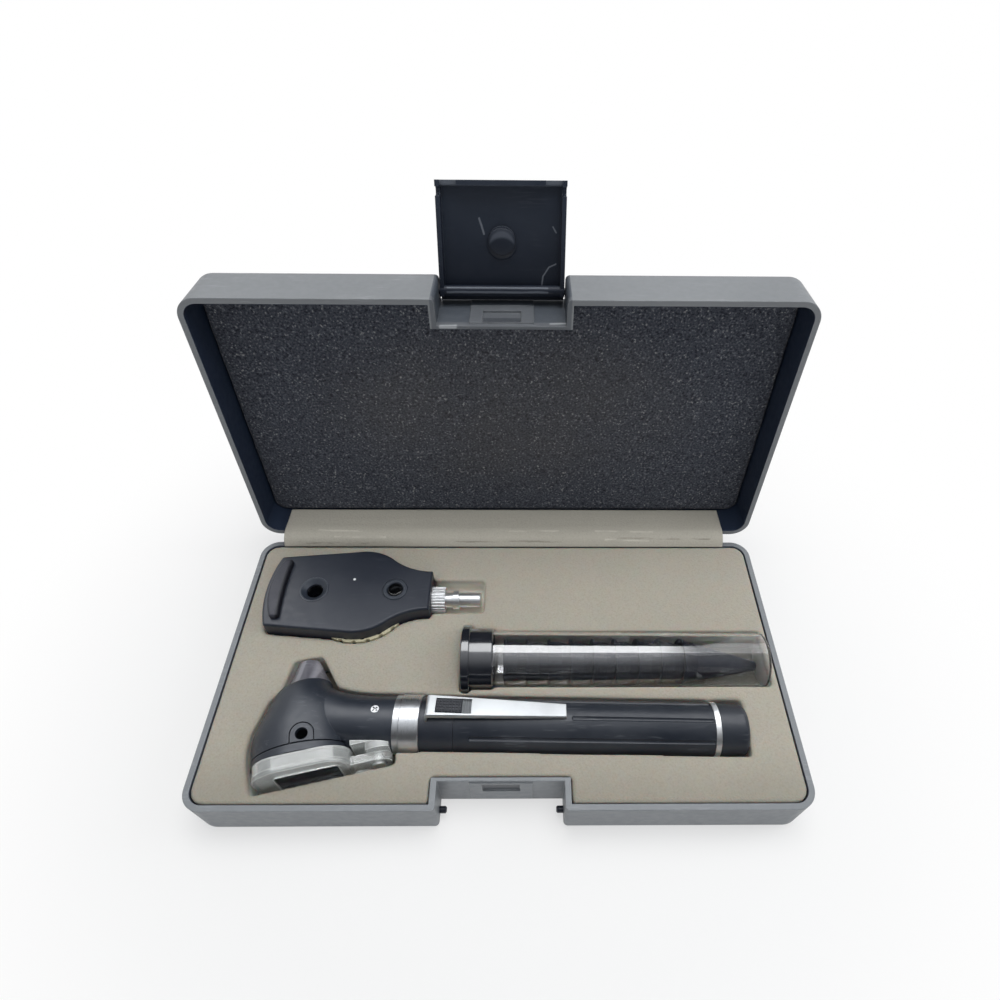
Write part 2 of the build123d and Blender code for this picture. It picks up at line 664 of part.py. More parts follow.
def screw_holes():
    seat = SCOPE_FOOT + SHELL_SCREW_SUNK + FIXED_GAP
    end = SCOPE_FACE - SCOPE_TOP + FIXED_GAP
    holes = []
    for x, y in SHELL_SCREW_AT:
        holes.append(post(SHELL_SCREW_R + FIXED_GAP, SCOPE_FOOT + 1, end, x, y))
        holes.append(post(SHELL_SCREW_HEAD_R + FIXED_GAP, SCOPE_FOOT - 1, seat, x, y))
    return holes


def scope_posts(z0, z1):
    """Solid posts round the shell screws."""
    posts = [post(SHELL_SCREW_HEAD_R + 1.0, z0, z1, x, y) for x, y in SHELL_SCREW_AT]
    return posts


def scope_front_shell():
    plan = scope_outline()
    shell = prism(plan, SCOPE_SPLIT, SCOPE_FACE)
    shell = fillet(shell.edges().group_by(Axis.Z)[-1], SCOPE_FACE_R)
    roof = SCOPE_FACE - SCOPE_TOP
    hollow = prism(offset(plan, -SCOPE_WALL), SCOPE_SPLIT - 1, roof)
    for pillar in scope_posts(SCOPE_SPLIT - 1, roof):
        hollow -= pillar
    shell -= hollow
    shell -= wheel_space()
    shell -= post(EYE_HOLE_R, roof - 1, SCOPE_FACE + 1, -LENS_RING_R)
    shell -= post(EYE_RING_R + FIXED_GAP, SCOPE_FACE - EYE_RING_T, SCOPE_FACE + 1, -LENS_RING_R)
    shell -= post(DIOPTRE_HOLE_R, roof - 1, SCOPE_FACE + 1, DIOPTRE_X)
    shell -= post(DIOPTRE_RING_R + FIXED_GAP, SCOPE_FACE - EYE_RING_T, SCOPE_FACE + 1, DIOPTRE_X)
    shell -= rod(PLUG_STUB_R + FIXED_GAP, SCOPE_END_X - PLUG_STUB_LEN, SCOPE_END_X + 1, 0, PLUG_Z)
    shell -= screw_holes()
    return SCOPE * shell


def scope_rear_shell():
    plan = scope_outline()
    shell = prism(plan, SCOPE_FOOT, SCOPE_SPLIT)
    shell = fillet(shell.edges().group_by(Axis.Z)[0], SCOPE_BACK_R)
    floor = SCOPE_FOOT + SCOPE_TOP
    hollow = prism(offset(plan, -SCOPE_WALL), floor, SCOPE_SPLIT + 1)
    for pillar in scope_posts(floor, SCOPE_SPLIT + 1):
        hollow -= pillar
    boss_top = SCOPE_SPLIT - WHEEL_T / 2 - WHEEL_GAP
    hollow -= post(AXLE_BOSS_R, floor, boss_top)
    shell -= hollow
    shell -= wheel_space()
    shell -= post(AXLE_R + FIXED_GAP, floor, SCOPE_SPLIT)
    shell -= post(PATIENT_HOLE_R, SCOPE_FOOT - 1, floor + 1, -LENS_RING_R)
    shell -= rod(PLUG_STUB_R + FIXED_GAP, SCOPE_END_X - PLUG_STUB_LEN, SCOPE_END_X + 1, 0, PLUG_Z)
    shell -= screw_holes()
    return SCOPE * shell


def brow_rest():
    """The raised crescent on the face that rests against the brow."""
    inner = REST_X + REST_WIDTH / 2
    outer = REST_X - REST_WIDTH / 2
    ends = outer + REST_EASE
    plan = make_face(Curve() + [
        ThreePointArc((inner, REST_HALF), (inner - REST_BOW / 2, 0), (inner, -REST_HALF)),
        Line((inner, -REST_HALF), (ends, -REST_HALF)),
        ThreePointArc((ends, -REST_HALF), (outer - REST_BOW, 0), (ends, REST_HALF)),
        Line((ends, REST_HALF), (inner, REST_HALF)),
    ])
    plan = fillet(plan.vertices(), REST_CORNER_R)
    rest = prism(plan, SCOPE_FACE, SCOPE_FACE + REST_RISE)
    return SCOPE * fillet(rest.edges().group_by(Axis.Z)[-1], REST_EDGE_R)


def eyepiece_ring():
    ring = post(EYE_RING_R, SCOPE_FACE - EYE_RING_T, SCOPE_FACE + 0.2, -LENS_RING_R)
    dish = Pos(-LENS_RING_R, 0, SCOPE_FACE + 0.2) * Cone(EYE_HOLE_R, EYE_RING_R - 0.5, EYE_RING_T,
                                                         align=(Align.CENTER, Align.CENTER, Align.MAX))
    return SCOPE * (ring - dish - post(EYE_HOLE_R, 0, SCOPE_FACE + 1, -LENS_RING_R))


def eyepiece_glass():
    roof = SCOPE_FACE - SCOPE_TOP
    return SCOPE * post(EYE_HOLE_R + 1, roof - GLASS_T, roof, -LENS_RING_R)


def dioptre_bezel():
    ring = post(DIOPTRE_RING_R, SCOPE_FACE - EYE_RING_T, SCOPE_FACE + 0.3, DIOPTRE_X)
    ring -= post(DIOPTRE_HOLE_R, 0, SCOPE_FACE + 1, DIOPTRE_X)
    return SCOPE * chamfer(ring.edges().group_by(Axis.Z)[-1], 0.4)


def dioptre_lens():
    lens = post(DIOPTRE_HOLE_R - FIXED_GAP, SCOPE_FACE - SCOPE_TOP, SCOPE_FACE, DIOPTRE_X)
    return SCOPE * fillet(lens.edges().group_by(Axis.Z)[-1], DIOPTRE_DOME_R)


def wheel_lens_places():
    return [Rot(0, 0, 360 / LENS_COUNT * i) * Pos(-LENS_RING_R, 0, 0) for i in range(LENS_COUNT)]


def lens_wheel():
    """The thumb wheel that carries the lenses; its scalloped rim stands out of both sides."""
    plan = Circle(WHEEL_R) - PolarLocations(WHEEL_R + TOOTH_CUT_OUT, WHEEL_TEETH) * Circle(TOOTH_CUT_R)
    plan -= Circle(AXLE_R + RUN_GAP)
    for place in wheel_lens_places():
        plan -= place * Circle(LENS_R + FIXED_GAP)
    return SCOPE * prism(plan, SCOPE_SPLIT - WHEEL_T / 2, SCOPE_SPLIT + WHEEL_T / 2)


def wheel_lenses():
    low = SCOPE_SPLIT - LENS_T / 2
    return Compound([SCOPE * place * post(LENS_R, low, low + LENS_T) for place in wheel_lens_places()])


def wheel_axle():
    return SCOPE * post(AXLE_R, SCOPE_FOOT + SCOPE_TOP, SCOPE_FACE - SCOPE_TOP)


def plug_collar():
    """The knurled ring at the foot of the head."""
    plan = Circle(COLLAR_R) - PolarLocations(COLLAR_R, COLLAR_TEETH) * Circle(COLLAR_CUT_R)
    plan -= Circle(PLUG_NECK_R + FIXED_GAP)
    ring = extrude(plan, COLLAR_LEN)
    return SCOPE * Pos(SCOPE_END_X, 0, PLUG_Z) * Rot(0, 90, 0) * ring


def plug():
    """The bayonet plug that fits the handle: stub, neck, flange and contact tip."""
    x = SCOPE_END_X
    body = rod(PLUG_STUB_R, x - PLUG_STUB_LEN, x, 0, PLUG_Z)
    x += COLLAR_LEN + PLUG_NECK_LEN
    body += rod(PLUG_NECK_R, SCOPE_END_X, x, 0, PLUG_Z)
    body += rod(PLUG_FLANGE_R, x, x + PLUG_FLANGE_LEN, 0, PLUG_Z)
    x += PLUG_FLANGE_LEN
    tip = rod(PLUG_TIP_R, x, x + PLUG_TIP_LEN, 0, PLUG_Z)
    body += chamfer(tip.edges().group_by(Axis.X)[-1], 0.5)
    lamp_x = SCOPE_END_X - PLUG_STUB_LEN
    return SCOPE * (body - rod(LAMP_R + FIXED_GAP, lamp_x - 1, lamp_x + LAMP_LEN / 2, 0, PLUG_Z))


def scope_lamp():
    start = SCOPE_END_X - PLUG_STUB_LEN - LAMP_LEN / 2
    lamp = rod(LAMP_R, start, start + LAMP_LEN, 0, PLUG_Z)
    return SCOPE * fillet(lamp.edges().group_by(Axis.X)[0], LAMP_R * 0.8)


def scope_mirror():
    tilted = Pos(-LENS_RING_R, 0, (SCOPE_FOOT + SCOPE_SPLIT) / 2) * Rot(0, 45, 0)
    glass = tilted * Box(MIRROR_SIZE, MIRROR_SIZE, MIRROR_T)
    floor = SCOPE_FOOT + SCOPE_TOP
    side = MIRROR_SIZE / 2
    carrier = block(-LENS_RING_R - side, -LENS_RING_R + side, side, side + 1.5, floor, SCOPE_SPLIT - 2)
    carrier += mirror(carrier, about=Plane.XZ)
    return SCOPE * glass, SCOPE * Compound(carrier.solids())


def patient_window():
    floor = SCOPE_FOOT + SCOPE_TOP
    return SCOPE * post(PATIENT_HOLE_R - FIXED_GAP, floor - GLASS_T, floor, -LENS_RING_R)


# ---- otoscope handle, along X from the head joint ----------------------------------------------
def tube_x(outer, inner, x0, x1):
    return rod(outer, x0, x1) - rod(inner, x0 - 1, x1 + 1)


def neck_ring():
    ring = tube_x(NECK_RING_R, BATTERY_R + BORE_GAP, NECK_RING_AT, NECK_RING_AT + NECK_RING_LEN)
    return HANDLE * ring


def handle_collar():
    ring = tube_x(COLLAR_BAND_R, BATTERY_R + BORE_GAP, NECK_RING_AT + NECK_RING_LEN + JOINT_LINE, BAND_LEN)
    rims = ring.edges().filter_by(GeomType.CIRCLE).group_by(Axis.X)[-1]
    return HANDLE * fillet(rims.sort_by(SortBy.RADIUS)[-1], BAND_EDGE_R)


def switch_housing():
    return HANDLE * tube_x(HOUSING_R, BATTERY_R + BORE_GAP, BAND_LEN, HOUSING_END)


def barrel_form(grow):
    """The barrel's slightly tapering outside."""
    start = HOUSING_END + JOINT_LINE
    return Pos(start, 0, 0) * Rot(0, 90, 0) * Cone(GRIP_R + grow, GRIP_TAIL_R + grow, BARREL_END - start,
                                                   align=(Align.CENTER, Align.CENTER, Align.MIN))


def flute(index):
    """A round-ended groove along the barrel; index 0 starts past the clip."""
    start = TOP_FLUTE_FROM if index == 0 else FLUTE_FROM
    cutter = rod(FLUTE_R, start, FLUTE_TO, 0, FLUTE_AXIS_R) + Pos(start, 0, FLUTE_AXIS_R) * Sphere(FLUTE_R)
    cutter += Pos(FLUTE_TO, 0, FLUTE_AXIS_R) * Sphere(FLUTE_R)
    return Rot(FLUTE_PHASE + 360 / FLUTES * index, 0, 0) * cutter


def handle_barrel():
    barrel = barrel_form(0) - rod(BATTERY_R + BORE_GAP, 0, BARREL_END + 1)
    barrel -= rod(SPIGOT_R + RUN_GAP, BARREL_END - SPIGOT_LEN - 0.2, BARREL_END + 1)
    for index in range(FLUTES):
        barrel -= flute(index)
    return HANDLE * barrel


def tail_ring():
    return HANDLE * tube_x(TAIL_RING_R, SPIGOT_R + RUN_GAP, BARREL_END, BARREL_END + TAIL_RING_LEN)


def end_cap():
    start = BARREL_END + TAIL_RING_LEN + JOINT_LINE
    end = start + CAP_LEN
    shell = Pos(start, 0, 0) * Rot(0, 90, 0) * Cone(CAP_R, CAP_TIP_R, CAP_LEN,
                                                    align=(Align.CENTER, Align.CENTER, Align.MIN))
    shell = fillet(shell.edges().group_by(Axis.X)[-1], CAP_END_R)
    shell += rod(SPIGOT_R, BARREL_END - SPIGOT_LEN, start)
    return HANDLE * (shell - rod(BATTERY_R + BORE_GAP, 0, end - CAP_WALL))


def battery(index):
    start = BATTERY_FIRST + BATTERY_LEN * index
    cell = rod(BATTERY_R, start + BATTERY_NUB, start + BATTERY_LEN - FIXED_GAP)
    cell = fillet(cell.edges(), BATTERY_EDGE_R)
    return HANDLE * (cell + rod(BATTERY_NUB_R, start, start + BATTERY_NUB))


def battery_spring():
    start = BATTERY_FIRST + 2 * BATTERY_LEN
    end = BARREL_END + TAIL_RING_LEN + JOINT_LINE + CAP_LEN - CAP_WALL
    height = end - start - 2 * SPRING_WIRE_R - FIXED_GAP
    path = Helix(height / SPRING_TURNS, height, SPRING_R)
    wire = sweep(Plane(origin=path @ 0, z_dir=path % 0) * Circle(SPRING_WIRE_R), path=path)
    return HANDLE * Pos(start + SPRING_WIRE_R, 0, 0) * Rot(0, 90, 0) * wire


def front_contact():
    disc = rod(BATTERY_R, BATTERY_FIRST - CONTACT_T - FIXED_GAP, BATTERY_FIRST - FIXED_GAP)
    pin = rod(CONTACT_PIN_R, NECK_RING_AT - SOCKET_LEN / 2, BATTERY_FIRST - CONTACT_T)
    return HANDLE * (disc + pin)


# ---- clip and switch, along the handle and rolled about it --------------------------------------
def clip_plan(inset):
    """Plan of the tapered clip, drawn in by inset."""
    return make_face(Polyline(
        (CLIP_FROM + inset, CLIP_HALF_WIDE - inset), (CLIP_TO - inset, CLIP_HALF_TIP - inset),
        (CLIP_TO - inset, inset - CLIP_HALF_TIP), (CLIP_FROM + inset, inset - CLIP_HALF_WIDE), close=True))


def pocket_clip():
    """The bent sheet clip, standing on the housing at one end and touching the barrel at its tip."""
    low = CLIP_TOP - CLIP_SIDE
    clip = prism(clip_plan(0), low, CLIP_TOP)
    bend = clip.edges().group_by(Axis.Z)[-1].sort_by(Axis.X)[0]
    clip = fillet(bend, CLIP_BEND_R)
    clip = chamfer(clip.edges().group_by(Axis.Z)[-1].filter_by(Axis.Y, reverse=True), CLIP_CHAMFER)
    clip -= prism(clip_plan(CLIP_T), low - 1, CLIP_TOP - CLIP_T)
    clip -= block(WINDOW_FROM, WINDOW_TO, -WINDOW_HALF, WINDOW_HALF, low, CLIP_TOP + 1)
    foot = block(CLIP_FROM, CLIP_FROM + CLIP_T, -CLIP_HALF_WIDE, CLIP_HALF_WIDE, 0, low + 0.2)
    tip = block(CLIP_TO - CLIP_T, CLIP_TO, -CLIP_HALF_TIP, CLIP_HALF_TIP, 0, low + 0.2)
    bent = SLOPE * (clip + foot + tip)
    return CLIP * (bent - rod(HOUSING_R, 0, HOUSING_END + JOINT_LINE) - barrel_form(FIXED_GAP))


def switch_guide():
    """The block under the clip's window, ribbed where the slider leaves it bare."""
    x0 = WINDOW_FROM - GUIDE_MARGIN
    x1 = WINDOW_TO + GUIDE_MARGIN
    top = CLIP_TOP - CLIP_T - FIXED_GAP
    guide = block(x0, x1, -WINDOW_HALF, WINDOW_HALF, 0, top)
    half = WINDOW_HALF - FIXED_GAP
    guide += block(WINDOW_FROM + FIXED_GAP, WINDOW_TO - FIXED_GAP, -half, half, 0, GUIDE_TOP)
    ribs = int((WINDOW_TO - WINDOW_FROM - SLIDER_LEN - SLIDER_GAP) / RIB_PITCH)
    for index in range(ribs):
        x = WINDOW_TO - RIB_PITCH * (index + 0.7)
        guide -= block(x - 0.2, x + 0.2, -WINDOW_HALF, WINDOW_HALF, GUIDE_TOP - RIB_CUT, GUIDE_TOP + 1)
    under = rod(HOUSING_R + FIXED_GAP, 0, HOUSING_END + JOINT_LINE) + barrel_form(FIXED_GAP)
    return CLIP * (SLOPE * guide - under)


def switch_slider():
    """The thumb slider, cross-cut for grip."""
    x0 = WINDOW_FROM + SLIDER_GAP
    half = WINDOW_HALF - SLIDER_GAP
    slider = block(x0, x0 + SLIDER_LEN, -half, half, GUIDE_TOP + RUN_GAP, SLIDER_TOP)
    slider = chamfer(slider.edges().group_by(Axis.Z)[-1], 0.25)
    cut = SLIDER_TOP - GRIP_CUT
    for index in range(1, int(SLIDER_LEN / GRIP_PITCH)):
        x = x0 + GRIP_PITCH * index
        slider -= block(x - 0.15, x + 0.15, -half, half, cut, SLIDER_TOP + 1)
    for index in range(-2, 3):
        y = GRIP_PITCH * index
        slider -= block(x0, x0 + SLIDER_LEN, y - 0.15, y + 0.15, cut, SLIDER_TOP + 1)
    return CLIP * SLOPE * slider


# ---- otoscope head, in its viewing axes: Z along the view, X across, Y up ------------------------
def head_loft(shrink):
    """The head's outer form, drawn in by shrink."""
    faces = []
    for along, centre, half, rise in HEAD_SECTIONS:
        faces.append(Pos(centre, 0, along) * Ellipse(half - shrink, rise - shrink))
    return loft(faces)


def port_plan(grow):
    """Plan of the keyhole plate round the insufflation port: X across, Y along the view."""
    end = HEAD_SECTIONS[-1][0]
    radius = PORT_PLATE_R + grow
    plan = Pos(PORT_Q, PORT_T) * Circle(radius)
    return plan + Pos(PORT_Q, (PORT_T + end + 1) / 2) * Rectangle(2 * radius, end + 1 - PORT_T)


def port_prism(face):
    """A port outline raised along the head's up direction."""
    top = HEAD_SECTIONS[-1][3]
    flat = Rot(-90, 0, 0) * mirror(face, about=Plane.XZ)
    return Pos(0, 2, 0) * extrude(flat, top, dir=(0, 1, 0))


def optic_in_handle(shape):
    """A shape drawn in the viewing axes, put into the handle's axes."""
    return OPTIC_IN_HANDLE * shape


def neck_sweep():
    """The neck where it widens into the head on the cone's side."""
    faces = []
    for x, rise in NECK_SWEEP:
        oval = Pos((rise - NECK_R) / 2, 0) * Ellipse((rise + NECK_R) / 2, NECK_R)
        faces.append(Plane(origin=(x, 0, 0), x_dir=(0, 1, 0), z_dir=(1, 0, 0)) * oval)
    return loft(faces)


def otoscope_head():
    outer = optic_in_handle(head_loft(0))
    body = outer + neck_sweep() + rod(NECK_R, NECK_SWEEP[0][0], NECK_RING_AT - JOINT_LINE)
    body -= optic_in_handle(head_loft(HEAD_WALL))
    body -= rod(NECK_R - NECK_WALL, OPTIC_X + NECK_R + HEAD_WALL, 0)
    body -= optic_in_handle(post(PIVOT_R + FIXED_GAP, PIVOT_ROOT, arm_back(), PIVOT_Q))
    along, centre, half, rise = HEAD_SECTIONS[-1]
    rim_space = prism(Pos(centre, 0) * Ellipse(half + POCKET_GAP, rise + POCKET_GAP), along, along + 10)
    body -= optic_in_handle(rim_space)
    keep = head_loft(PORT_SKIN)
    body -= optic_in_handle(port_prism(port_plan(PORT_GROOVE)) - keep)
    body -= optic_in_handle(port_prism(Pos(PORT_Q, PORT_T) * Circle(PORT_R)))
    return HANDLE * (body - neck_screw_hole())


def insufflation_port():
    """The keyhole plate, flush in the side of the head, with the port through it."""
    plate = port_prism(port_plan(0)) & head_loft(0)
    plate -= head_loft(PORT_SKIN)
    end, _, half, rise = HEAD_SECTIONS[-1]
    plate &= block(-half, half, 0, 2 * rise, 0, end - FIXED_GAP)
    return OPTIC * (plate - port_prism(Pos(PORT_Q, PORT_T) * Circle(PORT_R)))


def neck_screw_place():
    return Rot(NECK_SCREW_ROLL, 0, 0) * Pos(NECK_SCREW_X, 0, NECK_R)


def neck_screw_hole():
    wide = post(NECK_SCREW_R + FIXED_GAP, -NECK_SCREW_SUNK, 1)
    return neck_screw_place() * (wide + post(NECK_SCREW_R / 2 + FIXED_GAP, -NECK_WALL - 1, 0))


def neck_screw():
    head = post(NECK_SCREW_R, -NECK_SCREW_SUNK, -0.1)
    long = 1.5 * NECK_SCREW_R
    head -= Pos(0, 0, -0.1) * Rot(0, 0, 45) * (Box(long, 0.45, 0.7) + Box(0.45, long, 0.7))
    return HANDLE * neck_screw_place() * (head + post(NECK_SCREW_R / 2, -NECK_WALL, -NECK_SCREW_SUNK))


def specula_mount():
    """The flared cone that a speculum pushes onto."""
    start, centre, base, _ = HEAD_SECTIONS[0]
    outer = [(CONE_TIP_R, -CONE_LEN), (CONE_FLARE_R, -CONE_FLARE), (base, start)]
    inner = [(r - wall, z) for (r, z), wall in zip(outer[::-1], (HEAD_WALL, CONE_WALL, CONE_WALL))]
    section = make_face(Polyline(*outer, *inner, close=True))
    cone = revolve(Plane.XZ * section, Axis.Z)
    key = Pos(-CONE_FLARE_R, 0, -CONE_FLARE - CONE_KEY[2] / 2) * Rot(0, -CONE_KEY_LEAN, 0) * Box(*CONE_KEY)
    return OPTIC * Pos(centre, 0, 0) * (cone - key)


def light_guide():
    """The fibre bundle from the bulb to the ring of fibres inside the cone."""
    start, centre, _, _ = HEAD_SECTIONS[0]
    axis = Pos(centre, 0, 0)
    ring = post(GUIDE_RING_R, -CONE_LEN, start + 0.5)
    ring = axis * (ring - post(GUIDE_RING_R - GUIDE_RING_T, -CONE_LEN - 1, start + 1))
    joined = optic_in_handle(ring)
    middle = centre + GUIDE_RING_R - GUIDE_RING_T / 2
    meet = optic_in_handle(Pos(middle, 0, start + 0.2)).position
    away = Vector(*OPTIC_AXIS) * -1
    begin = (bulb_tip() - FIXED_GAP, 0, 0)
    path = Spline([begin, (meet.X, meet.Y, 0)], tangents=[(-1, 0, 0), away])
    bundle = sweep(Plane(origin=begin, z_dir=(-1, 0, 0)) * Circle(FIBRE_R), path=path)
    bundle -= optic_in_handle(axis * post(GUIDE_RING_R - GUIDE_RING_T, -CONE_LEN - 1, start + 2))
    return HANDLE * (joined + bundle)


def bulb_tip():
    return NECK_RING_AT - SOCKET_LEN - BULB_LEN


def head_lamp():
    end = NECK_RING_AT - SOCKET_LEN - FIXED_GAP
    bulb = rod(BULB_R, bulb_tip(), end)
    return HANDLE * fillet(bulb.edges().group_by(Axis.X)[0], BULB_R * 0.8)


def lamp_socket():
    socket = rod(NECK_R - NECK_WALL - FIXED_GAP, NECK_RING_AT - SOCKET_LEN, NECK_RING_AT - JOINT_LINE)
    return HANDLE * (socket - rod(CONTACT_PIN_R + FIXED_GAP, NECK_RING_AT - SOCKET_LEN / 2 - FIXED_GAP, 0))


def eyepiece_rim():
    """The oval rim that closes the viewing end of the head, with a groove behind it."""
    along, centre, half, rise = HEAD_SECTIONS[-1]
    inner = Ellipse(half - EYE_RIM_IN, rise - EYE_RIM_IN)
    register = Ellipse(half - EYE_RIM_GROOVE_IN, rise - EYE_RIM_GROOVE_IN) - inner
    place = Pos(centre, 0)
    rim = prism(place * register, along + FIXED_GAP, along + EYE_RIM_GROOVE)
    rim += prism(place * (Ellipse(half, rise) - inner), along + EYE_RIM_GROOVE, along + EYE_RIM_LEN)
    return OPTIC * rim


def magnifier_bracket():
    """The clear bracket fixed under the neck, stepped to let the magnifier's frame swing past it."""
    front = arm_back() - RUN_GAP
    shoulder = magnifier_start() - FIXED_GAP
    plan = make_face(Polyline(
        (BRACKET_FROM, BRACKET_BACK[0]), (BRACKET_TO, BRACKET_BACK[1]), (BRACKET_TO, front),
        (BRACKET_STEP, front), (BRACKET_STEP, shoulder), (BRACKET_FROM, shoulder), close=True))
    body = Rot(90, 0, 0) * extrude(plan, BRACKET_HALF, both=True)
    swing_room = post(PIVOT_Q - BRACKET_FROM, shoulder, front, PIVOT_Q)
    body -= block(0, 2 * PIVOT_Q, -2 * BRACKET_HALF, 2 * BRACKET_HALF, shoulder, front + 1) - swing_room
    body = optic_in_handle(body - post(PIVOT_R + FIXED_GAP, 0, front + 1, PIVOT_Q))
    return HANDLE * (body - rod(NECK_R + FIXED_GAP, 2 * OPTIC_X, 0))


# ---- swivelling magnifier ------------------------------------------------------------------------
def magnifier_start():
    return HEAD_SECTIONS[-1][0] + EYE_RIM_LEN + MAGNIFIER_GAP


def arm_back():
    return magnifier_start() + MAGNIFIER_LEN - ARM_T


def magnifier_frame():
    """The clear cup-shaped frame and the arm that it swings on."""
    start = magnifier_start()
    end = start + MAGNIFIER_LEN
    plan = Pos(MAGNIFIER_Q, 0) * RectangleRounded(MAGNIFIER_WIDTH, MAGNIFIER_HEIGHT, MAGNIFIER_CORNER)
    frame = prism(plan, start, end)
    frame = fillet(frame.edges().group_by(Axis.Z)[-1], MAGNIFIER_EDGE_R)
    frame -= prism(offset(plan, -MAGNIFIER_WALL), start - 1, end - MAGNIFIER_FACE)
    window = Pos(LENS_Q, 0) * RectangleRounded(LENS_WIDTH, LENS_HEIGHT, LENS_CORNER)
    frame -= prism(window, start, end + 1)
    arm_from = MAGNIFIER_Q + MAGNIFIER_WIDTH / 2 - MAGNIFIER_WALL
    arm = Pos((arm_from + PIVOT_Q) / 2, 0) * Rectangle(PIVOT_Q - arm_from, 2 * ARM_HALF)
    arm += Pos(PIVOT_Q, 0) * Circle(ARM_HALF)
    frame += prism(arm, end - ARM_T, end)
    return OPTIC * (frame - post(PIVOT_R + RUN_GAP, start, end + 1, PIVOT_Q))


def magnifier_lens():
    end = magnifier_start() + MAGNIFIER_LEN
    gap = 2 * FIXED_GAP
    window = Pos(LENS_Q, 0) * RectangleRounded(LENS_WIDTH - gap, LENS_HEIGHT - gap, LENS_CORNER)
    lens = prism(window, end - MAGNIFIER_FACE, end - MAGNIFIER_FACE + LENS_PANE)
    return OPTIC * fillet(lens.edges().group_by(Axis.Z)[-1], LENS_EDGE_R)


def magnifier_pivot():
    end = magnifier_start() + MAGNIFIER_LEN
    shank = post(PIVOT_R, PIVOT_ROOT + FIXED_GAP, end + RUN_GAP, PIVOT_Q)
    head = post(PIVOT_HEAD_R, end + RUN_GAP, end + RUN_GAP + PIVOT_HEAD_T, PIVOT_Q)
    return OPTIC * (shank + fillet(head.edges().group_by(Axis.Z)[-1], PIVOT_HEAD_EDGE_R))


# ---- specula tube, along X from its open end -------------------------------------------------------
def specula_tube():
    outer = Rot(0, 90, 0) * Cone(TUBE_R, TUBE_END_R, TUBE_LEN,
                                 align=(Align.CENTER, Align.CENTER, Align.MIN))
    outer = fillet(outer.edges().group_by(Axis.X)[-1], TUBE_ROUND)
    inner = Rot(0, 90, 0) * Cone(TUBE_R - TUBE_WALL, TUBE_END_R - TUBE_WALL, TUBE_LEN - TUBE_WALL,
                                 align=(Align.CENTER, Align.CENTER, Align.MIN))
    return TUBE * (outer - inner)


def tube_cap():
    """The black cap: end wall, grip flange and the skirt over the tube."""
    flange = rod(TUBE_CAP_R, -TUBE_CAP_END, TUBE_CAP_LEN - TUBE_CAP_END)
    flange = fillet(flange.edges(), TUBE_CAP_EDGE_R)
    skirt = rod(TUBE_SKIRT_R, 0, TUBE_CAP_LEN - TUBE_CAP_END + TUBE_SKIRT_LEN)
    skirt = chamfer(skirt.edges().group_by(Axis.X)[-1], TUBE_CAP_EDGE_R)
    return TUBE * (flange + skirt - rod(TUBE_BORE, -RUN_GAP, TUBE_LEN))


def speculum(index):
    """One nested ear speculum: rim, collar and tapering tip, open at both ends."""
    collar = SPECULUM_COLLAR_R
    length = SPECULUM_COLLAR_LEN
    outer = [(SPECULUM_RIM_R, 0), (SPECULUM_RIM_R, SPECULUM_RIM_T), (collar, SPECULUM_RIM_T),
             (collar - 0.2, length), (SPECULUM_CONE_R, length + 0.4), (SPECULUM_TIP_R, SPECULUM_LEN)]
    inner = [(SPECULUM_TIP_R - SPECULUM_WALL, SPECULUM_LEN), (SPECULUM_CONE_R - SPECULUM_WALL, length),
             (collar - SPECULUM_WALL - 0.1, length - SPECULUM_WALL), (collar - SPECULUM_WALL, 0)]
    section = make_face(Polyline(*outer, *inner, close=True))
    solid = Rot(0, 90, 0) * revolve(Plane.XZ * section, Axis.Z)
    droop = Rot(0, SPECULUM_DROOPS[index], 0)
    return TUBE * Pos(SPECULUM_FIRST + SPECULUM_PITCH * index, 0, -SPECULUM_SAG) * droop * solid


